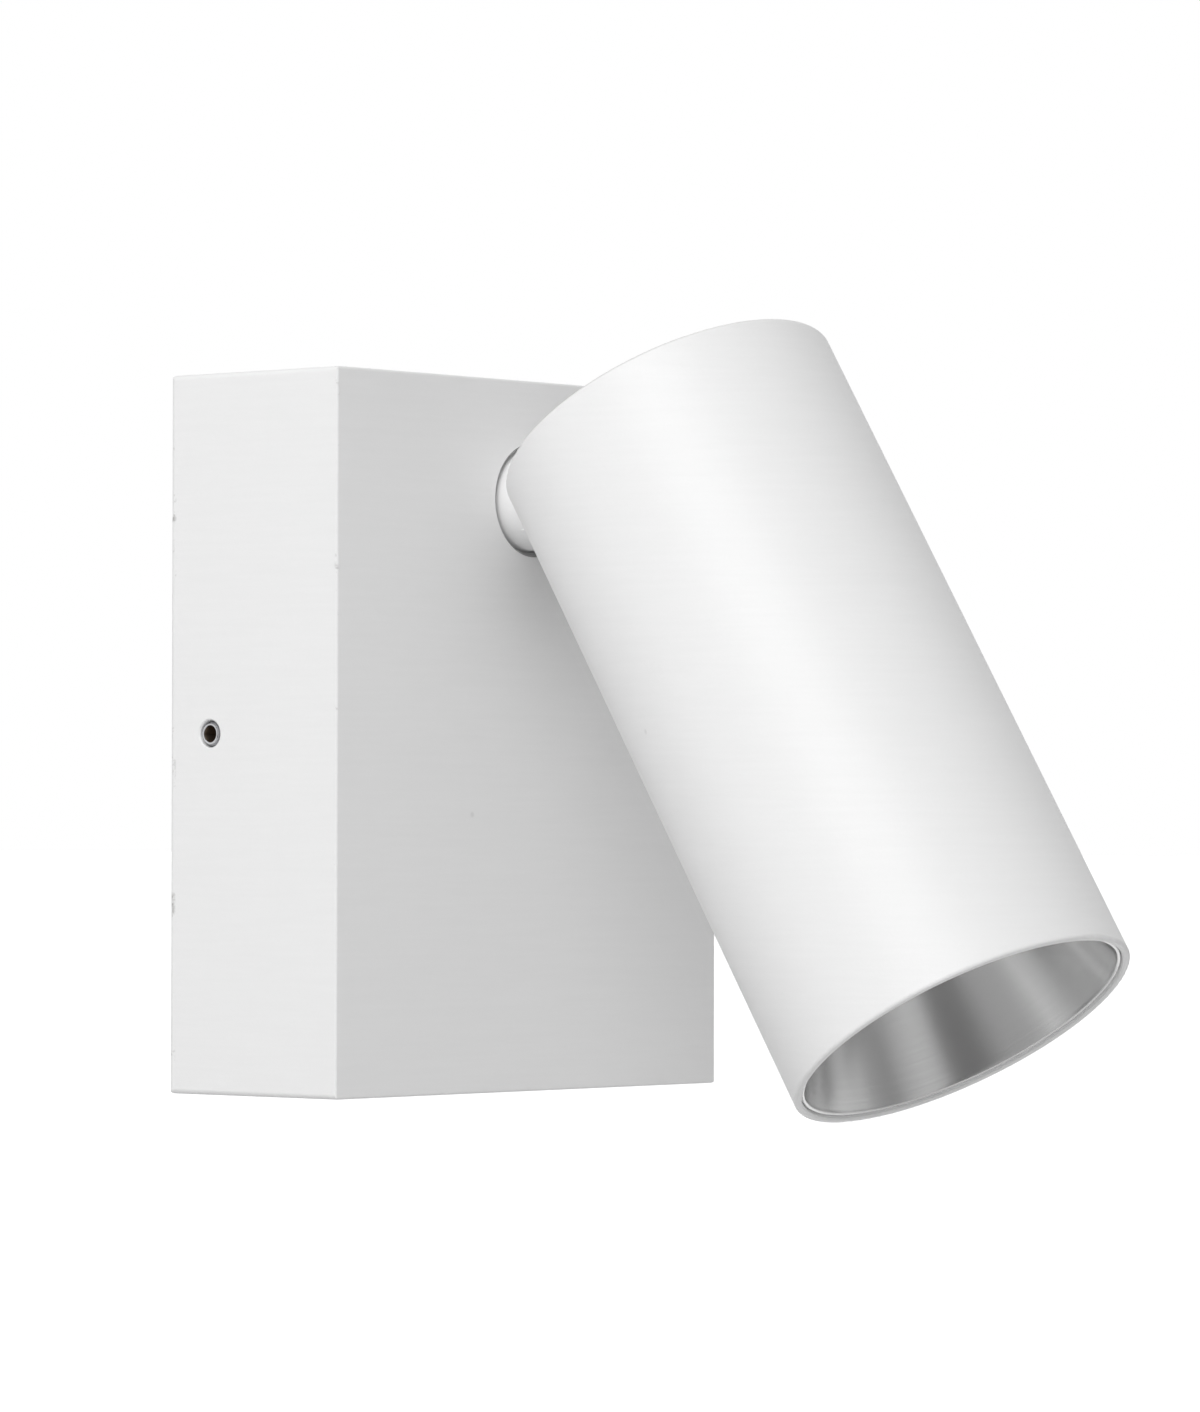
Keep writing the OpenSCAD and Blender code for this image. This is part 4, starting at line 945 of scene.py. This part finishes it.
class SPOTLIGHT_OT_driver(bpy.types.Operator):
    """Finishes the driver's case, lid and circuit board"""
    bl_idname = "spotlight.driver"
    bl_label = "Driver"

    def execute(self, context):
        white = COLOURS["white_plastic"]
        for node, name, colour in (("driver_case", "driver_plastic", white),
                                   ("driver_lid", "lid_plastic", lighter(white, 0.93))):
            moulded(name, colour, 0.48, 0.05, 0.0006, 0.000014).on(node)
        f = moulded("board_lacquer", COLOURS["circuit_green"], 0.3)
        # Dark parts stand off the board, and solder pads lie between them
        parts_end, black, solder = 0.0038, (0.05, 0.05, 0.06), (0.75, 0.72, 0.65)
        parts = f.calc("GREATER_THAN", f.axes()[1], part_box("driver_board")[0].y + parts_end)
        f.coloured(parts, black)
        distance, pick = f.cells(0.0028)
        pads = f.calc("MULTIPLY", f.calc("GREATER_THAN", pick, 0.7),
                      f.ramp(distance, 0.18, 0.24, 1.0, 0.0))
        f.coloured(f.calc("MULTIPLY", pads, f.calc("SUBTRACT", 1.0, parts)), solder)
        f.on("driver_board")
        return {"FINISHED"}


class SPOTLIGHT_OT_terminals(bpy.types.Operator):
    """Finishes the terminal block and the earth point"""
    bl_idname = "spotlight.terminals"
    bl_label = "Terminals"

    def execute(self, context):
        metal = context.scene.spotlight_metal
        moulded("block_plastic", COLOURS["white_plastic"], 0.42, 0.15).on("terminal_body")
        worked_metal("lug_tin", COLOURS["tinned_lug"], 0.3).on("earth_lug")
        brass = worked_metal("clamp_brass", metal.brass, 0.28, (1, 1, 0.15))
        brass.on("terminal_clamps")
        local = frame_along((0, 0, 0), -INTO_WALL)
        pitch, bore, sheet = 0.0007, 0.0020, 0.0008
        form = Form()
        for points in solids("earth_stud", local):
            low, high, axis, radii = spread(points)
            r, top, foot = (high[0] - low[0]) / 2, high[2], low[2]
            flank = thread(r, pitch * metal.thread_depth, pitch)
            count = round((top - foot - 0.002) / pitch * 6)
            rings = [(0, top), (r * 0.8, top), (r - 0.0001, top - 0.0004)]
            rings += [(flank, top - 0.0005 - i * pitch / 6) for i in range(count)]
            rings += [(r, foot + 0.0014), (r, foot), (0, foot)]
            form.turned(rings, place=upright(axis))
        form.piece("earth_stud_threaded", "base", [brass], ["earth_stud"], local)
        form = Form()
        for points in solids("earth_nut", local):
            low, high, axis, radii = spread(points)
            bottom, washer, wide = low[2], low[2] + sheet, radii.max()
            radius = radii[points[:, 2] > washer + CLOSE].max()
            nut(form, axis, radius, washer, high[2], bore, pitch, 0.0002)
            inside = bore + 0.0001
            form.turned([(inside, bottom), (wide - 0.0001, bottom), (wide, bottom + 0.0001),
                         (wide, washer - 0.0001), (wide - 0.0001, washer), (inside, washer)],
                        place=upright(axis), loop=True)
        form.piece("earth_nut_cut", "base", [brass], ["earth_nut"], local)
        return {"FINISHED"}


class SPOTLIGHT_OT_tube(bpy.types.Operator):
    """Paints the tube and its rear cap, and makes the cap's screws and posts"""
    bl_idname = "spotlight.tube"
    bl_label = "Tube"

    def execute(self, context):
        metal = context.scene.spotlight_metal
        f = powder_coat("tube_paint").seen_from(HEAD)
        # Painted shade: the rear rim is darkened towards the dust colour, so that it shows as a grey edge line
        rear = node_points("tube_body", HEAD)[:, 2].min()
        share = 0.4
        rim_shade = f.ramp(f.axes()[2], rear + 0.00005, rear + 0.0005, share, 0.0)
        f.coloured(rim_shade, context.scene.spotlight_paint.dust)
        f.on("tube_body")
        powder_coat("cap_paint").on("rear_cap")
        worked_metal("post_brass", metal.brass, 0.28, (1, 1, 0.2)).seen_from(HEAD).on("cap_posts")
        screws("cap_screws", "head", frame_along(TILT_AXIS, -LIGHT_WAY), 0.0005,
               screw_steel("cap_screw_steel"), countersunk_screw)
        return {"FINISHED"}


class SPOTLIGHT_OT_knuckle(bpy.types.Operator):
    """Finishes the tilt bracket and makes its pivot screws, washers and fixing screws"""
    bl_idname = "spotlight.knuckle"
    bl_label = "Tilt knuckle"

    def execute(self, context):
        metal = context.scene.spotlight_metal
        worked_metal("bracket_zinc", metal.zinc, 0.34, (0.08, 1, 1)).on("tilt_bracket")
        moulded("pivot_washer_nylon", COLOURS["black_nylon"], 0.5).on("pivot_washers")
        steel = screw_steel("head_screw_steel")
        # Shoulder screws, with a thread of 3 mm under the head and then a smooth pin
        edge, pin, thread_r, pitch = hexagon(0.003), 0.0025, 0.003, 0.0008
        flank = thread(thread_r, pitch * metal.thread_depth, pitch)
        count = round(0.003 / pitch * 6)
        for name, way in (("pivot_screw_left", (-1, 0, 0)), ("pivot_screw_right", (1, 0, 0))):
            local = frame_along(TILT_AXIS, way, (0, 1, 0))
            points = outermost("pivot_screws", local)
            radii, z = np.hypot(points[:, 0], points[:, 1]), points[:, 2]
            head, top, tip = radii.max(), z.max(), z.min()
            seat = z[radii > 0.97 * head].min()
            rings = [(0, top - 0.0016), (edge, top - 0.0014), (edge, top - 0.0002), (0.0019, top),
                     (head - 0.0004, top), (head - 0.0001, top - 0.00012), (head, top - 0.0004),
                     (head, seat + 0.0002), (head - 0.0002, seat), (thread_r - 0.0004, seat)]
            rings += [(flank, seat - 0.0001 - 0.0028 * i / count) for i in range(count + 1)]
            rings += [(pin, seat - 0.003), (pin, tip + 0.0003), (pin - 0.0003, tip), (0, tip)]
            form = Form()
            form.turned(rings)
            form.piece(name, "head", [steel], ["pivot_screws"], local)
        for node, way in (("bracket_screws", -LIGHT_WAY), ("holder_screws", LIGHT_WAY)):
            screws(node, "head", frame_along(TILT_AXIS, way), 0.0005, steel)
        return {"FINISHED"}


class SPOTLIGHT_OT_light_source(bpy.types.Operator):
    """Finishes the heat sink, the LED board and its holder, and makes the emitter"""
    bl_idname = "spotlight.light_source"
    bl_label = "Light source"

    def execute(self, context):
        aluminium = context.scene.spotlight_metal.aluminium
        sink = worked_metal("sink_aluminium", aluminium, 0.32, (1, 1, 0.04)).seen_from(HEAD)
        sink.on("heat_sink")
        moulded("pad_film", COLOURS["thermal_grey"], 0.7).on("thermal_pad")
        moulded("holder_nylon", COLOURS["white_nylon"], 0.42, 0.1).on("led_holder")
        moulded("led_board_lacquer", COLOURS["led_board_white"], 0.32).on("led_board")
        low, high = spread(node_points("led_emitter", HEAD))[:2]
        radius, base, top = (high[0] - low[0]) / 2, low[2], high[2]
        dam = radius * 0.88
        form = Form()
        form.turned([(radius, base), (radius, base + (top - base) * 0.7),
                     (radius - 0.0001, top - 0.00008), (radius - 0.0004, top),
                     (dam, top - 0.00006), (dam - 0.00005, base)], 96, loop=True, finish=1)
        form.turned([(dam, base)] + [(dam * share, top - drop) for share, drop in (
            (1, 0.00022), (0.9, 0.00016), (0.6, 0.0001), (0.3, 0.00007), (0, 0.00006))], 96)
        gel = Finish("phosphor_gel", COLOURS["led_phosphor"], 0.0, 0.22, Specular_IOR_Level=0.6)
        grain = gel.noise(0.0004, 4.0, 0.7)
        gel.toned(grain, 0.3, 0.7, 0.6, 0.82)
        # The chips shine through as rows of darker spots
        chips = gel.ramp(gel.cells(0.0012)[0], 0.3, 0.42, 0.5, 0.0)
        gel.coloured(chips, lighter(gel.colour, 0.7))
        gel.bumped(grain, 0.00001)
        ring = moulded("emitter_dam", (0.86, 0.86, 0.82), 0.35)
        form.piece("led_emitter_gel", "head", [gel, ring], ["led_emitter"], HEAD)
        return {"FINISHED"}


class SPOTLIGHT_OT_reflector(bpy.types.Operator):
    """Makes the spun reflector with its rolled lip"""
    bl_idname = "spotlight.reflector"
    bl_label = "Reflector"

    def execute(self, context):
        metal = context.scene.spotlight_metal
        points = node_points("reflector", HEAD)
        radii, z = np.hypot(points[:, 0], points[:, 1]), points[:, 2]
        seat, mouth = z.min(), node_points("tube_body", HEAD)[:, 2].max()
        bead, recess, sheet, steps, sides = 0.0003, 0.0006, 0.0008, 72, 240
        rim = mouth - recess - bead
        # The roll ends 0.17 mm outside the CAD reflector, close to the tube
        lip = radii.max() + 0.00017 - bead
        narrow, wide = radii[z < seat + CLOSE].min(), lip - bead
        inner = []
        for i in range(steps + 1):
            h = (rim - seat) * i / steps
            share = h / (rim - seat)
            inner.append((math.sqrt(narrow ** 2 + (wide ** 2 - narrow ** 2) * share), seat + h))
        roll = arc(lip, rim, bead, range(168, -91, -12))
        outer = [(r + sheet, h) for r, h in inner[-2:0:-1] if h < rim - sheet]
        flange = [(narrow + 0.0012, seat + sheet), (narrow + 0.0012, seat)]
        form = Form()
        form.turned(roll + outer + flange + inner, sides, loop=True)
        rolled = (len(roll) - 1) * sides
        form.finishes[:rolled] = [1] * rolled
        spun = spun_metal("spun_aluminium", metal.reflector, metal.reflector_roughness, 0.85,
                          0.0005, 0.00000005)
        # The rolled lip has a satin finish, and its pale, partly diffuse colour is a painted highlight that makes
        # it show as a bright line
        satin = Finish("lip_painted_highlight", (0.92, 0.92, 0.92), 0.6, 0.2)
        form.piece("reflector_spun", "head", [spun, satin], ["reflector"],
                   HEAD)
        return {"FINISHED"}


# Places in the terminal block, in millimetres: its three clamps along X, their height off the
# wall, and the heights where a wire's bare end starts, where its sheath starts and where it leaves
POLES = (-29.0, -19.0, -9.0)
CLAMP_Y = -7.0
CLAMP_HEIGHTS = (-37.5, -30.0, -26.0)
CLAMP_EXIT = -23.5


def clamped(pole, first, last, end):
    """Route from a clamp to an end, curved by its first and last tangents."""
    start = Vector((pole, CLAMP_Y, CLAMP_EXIT))
    straight = [(pole, CLAMP_Y, height) for height in CLAMP_HEIGHTS]
    return straight + bezier(start, start + Vector(first), end + Vector(last), end, 32)


def wire(name, body, slot, radius, route, stands_for, bare=(0.0, 0.0), place=Matrix()):
    """Round wire along a route in millimetres, with the copper bare for a length at each end."""
    spots = [Vector(p) * 0.001 for p in route]
    run = [0.0]
    for before, after in zip(spots, spots[1:]):
        run.append(run[-1] + (after - before).length)
    path = []
    for spot, far in zip(spots, run):
        stripped = int(far < bare[0] - 1e-6 or run[-1] - far < bare[1] - 1e-6)
        # Where the sheath starts or ends, the last thickness reaches up to the next one
        if path and path[-1][2] != stripped:
            path.append((spot, *path[-1][1:]))
        path.append((spot, radius * (0.62 if stripped else 1.0), stripped))
    form = Form()
    form.swept(path)
    sheath = moulded(name + "_sheath", COLOURS[slot], 0.35, peel=0.0015)
    copper = worked_metal(name + "_copper", (0.80, 0.42, 0.26), 0.3)
    form.piece(name, body, [sheath, copper], [stands_for], place)


class SPOTLIGHT_OT_wires(bpy.types.Operator):
    """Makes the wires from the terminal block to the driver and to the earth stud"""
    bl_idname = "spotlight.wires"
    bl_label = "Wires"

    def execute(self, context):
        radius, bare, hole_x, lid_back, driver_back = 0.0009, 0.0075, 7.0, -16.0, -14.5
        routes = (("live_wire", "brown_wire", POLES[2], -22.0, 5.0),
                  ("neutral_wire", "blue_wire", POLES[1], -15.0, 12.0))
        for node, slot, pole, height, rise in routes:
            end = Vector((hole_x, driver_back + 1, height))
            route = clamped(pole, (0, 0, rise), (0, 6, 0), end)
            route += [(hole_x, driver_back, height), (hole_x, lid_back - 1.5, height)]
            wire(node + "_run", "base", slot, radius, route, node, (bare, 0.0))
        end = Vector((-22.0, -3.2, 3.5))
        route = clamped(POLES[0], (0, 0, 10), (0, 0, -12), end)
        route += [end + Vector((0, 0, 0.8)), end + Vector((0, 0, 5.0))]
        wire("earth_wire_run", "base", "green_wire", radius, route, "earth_wire", (bare, 0.0045))
        return {"FINISHED"}


class SPOTLIGHT_OT_leads(bpy.types.Operator):
    """Makes the lead that runs from the driver through the arm to the light source"""
    bl_idname = "spotlight.leads"
    bl_label = "Lead"

    def execute(self, context):
        # The parts of the lead meet on the joints' axes, and these are their places in millimetres
        radius, meet, tilt = 0.0015, -12.9, TILT_AXIS * 1000
        start, end = Vector((7.0, -14.0, -2.0)), Vector((0, meet + 1, SWIVEL_AXIS.z * 1000))
        route = [start - Vector((0, 3.0, 0)), start - Vector((0, 1.5, 0))]
        route += bezier(start, start + Vector((0, 6.5, 2)), end + Vector((0, 10, -2)), end, 40)
        route += [end - Vector((0, 1, 0))]
        wire("base_lead_run", "base", "black_lead", radius, route, "base_lead")
        route = [(0, y, tilt.z) for y in (tilt.y + 1.8, tilt.y + 20, -25, meet)]
        wire("swivel_lead_run", "swivel", "black_lead", radius, route, "swivel_lead")
        side, nose, bracket, turn, socket, holder = 22.2, 8.55, 17.0, 57.9, 60.9, 17.5
        route = [(0, 0, 1.8)] + bezier((0, 0, nose), (0, 0, nose + 7), (0, side, nose + 1),
                                       (0, side, bracket + 1), 32)
        route += bezier((0, side, turn), (0, side, turn + 3), (0, holder + 3.6, socket),
                        (0, holder + 0.6, socket), 16) + [(0, holder - 2.3, socket)]
        wire("head_lead_run", "head", "black_lead", radius, route, "head_lead", place=HEAD)
        return {"FINISHED"}


OPERATORS = (
    SPOTLIGHT_OT_camera, SPOTLIGHT_OT_stage, SPOTLIGHT_OT_base_cover, SPOTLIGHT_OT_wall_plate,
    SPOTLIGHT_OT_grub_screws, SPOTLIGHT_OT_plate_screws, SPOTLIGHT_OT_swivel, SPOTLIGHT_OT_arm,
    SPOTLIGHT_OT_driver, SPOTLIGHT_OT_terminals, SPOTLIGHT_OT_tube, SPOTLIGHT_OT_knuckle,
    SPOTLIGHT_OT_light_source, SPOTLIGHT_OT_reflector, SPOTLIGHT_OT_wires, SPOTLIGHT_OT_leads)


class SPOTLIGHT_PT_panel(bpy.types.Panel):
    """Lists the spotlight's pieces and settings"""
    bl_idname = "SPOTLIGHT_PT_panel"
    bl_label = "Wall spotlight"
    bl_space_type = "VIEW_3D"
    bl_region_type = "UI"
    bl_category = "Spotlight"

    def draw(self, context):
        for title, settings in (("Paint", context.scene.spotlight_paint),
                                ("Metal", context.scene.spotlight_metal),
                                ("Stage", context.scene.spotlight_stage)):
            box = self.layout.box()
            box.label(text=title)
            for key in settings.__annotations__:
                box.prop(settings, key)
        for operator in OPERATORS:
            self.layout.operator(operator.bl_idname)


GROUPS = {"spotlight_paint": SpotlightPaint, "spotlight_metal": SpotlightMetal,
          "spotlight_stage": SpotlightStage}


def register():
    for group in GROUPS.values():
        bpy.utils.register_class(group)
    for key, group in GROUPS.items():
        setattr(bpy.types.Scene, key, bpy.props.PointerProperty(type=group))
    for operator in OPERATORS:
        bpy.utils.register_class(operator)
    bpy.utils.register_class(SPOTLIGHT_PT_panel)


def unregister():
    bpy.utils.unregister_class(SPOTLIGHT_PT_panel)
    for operator in reversed(OPERATORS):
        bpy.utils.unregister_class(operator)
    for key in GROUPS:
        delattr(bpy.types.Scene, key)
    for group in reversed(GROUPS.values()):
        bpy.utils.unregister_class(group)


def main():
    register()
    for operator in OPERATORS:
        group, name = operator.bl_idname.split(".")
        getattr(getattr(bpy.ops, group), name)()


if __name__ == "__main__":
    main()
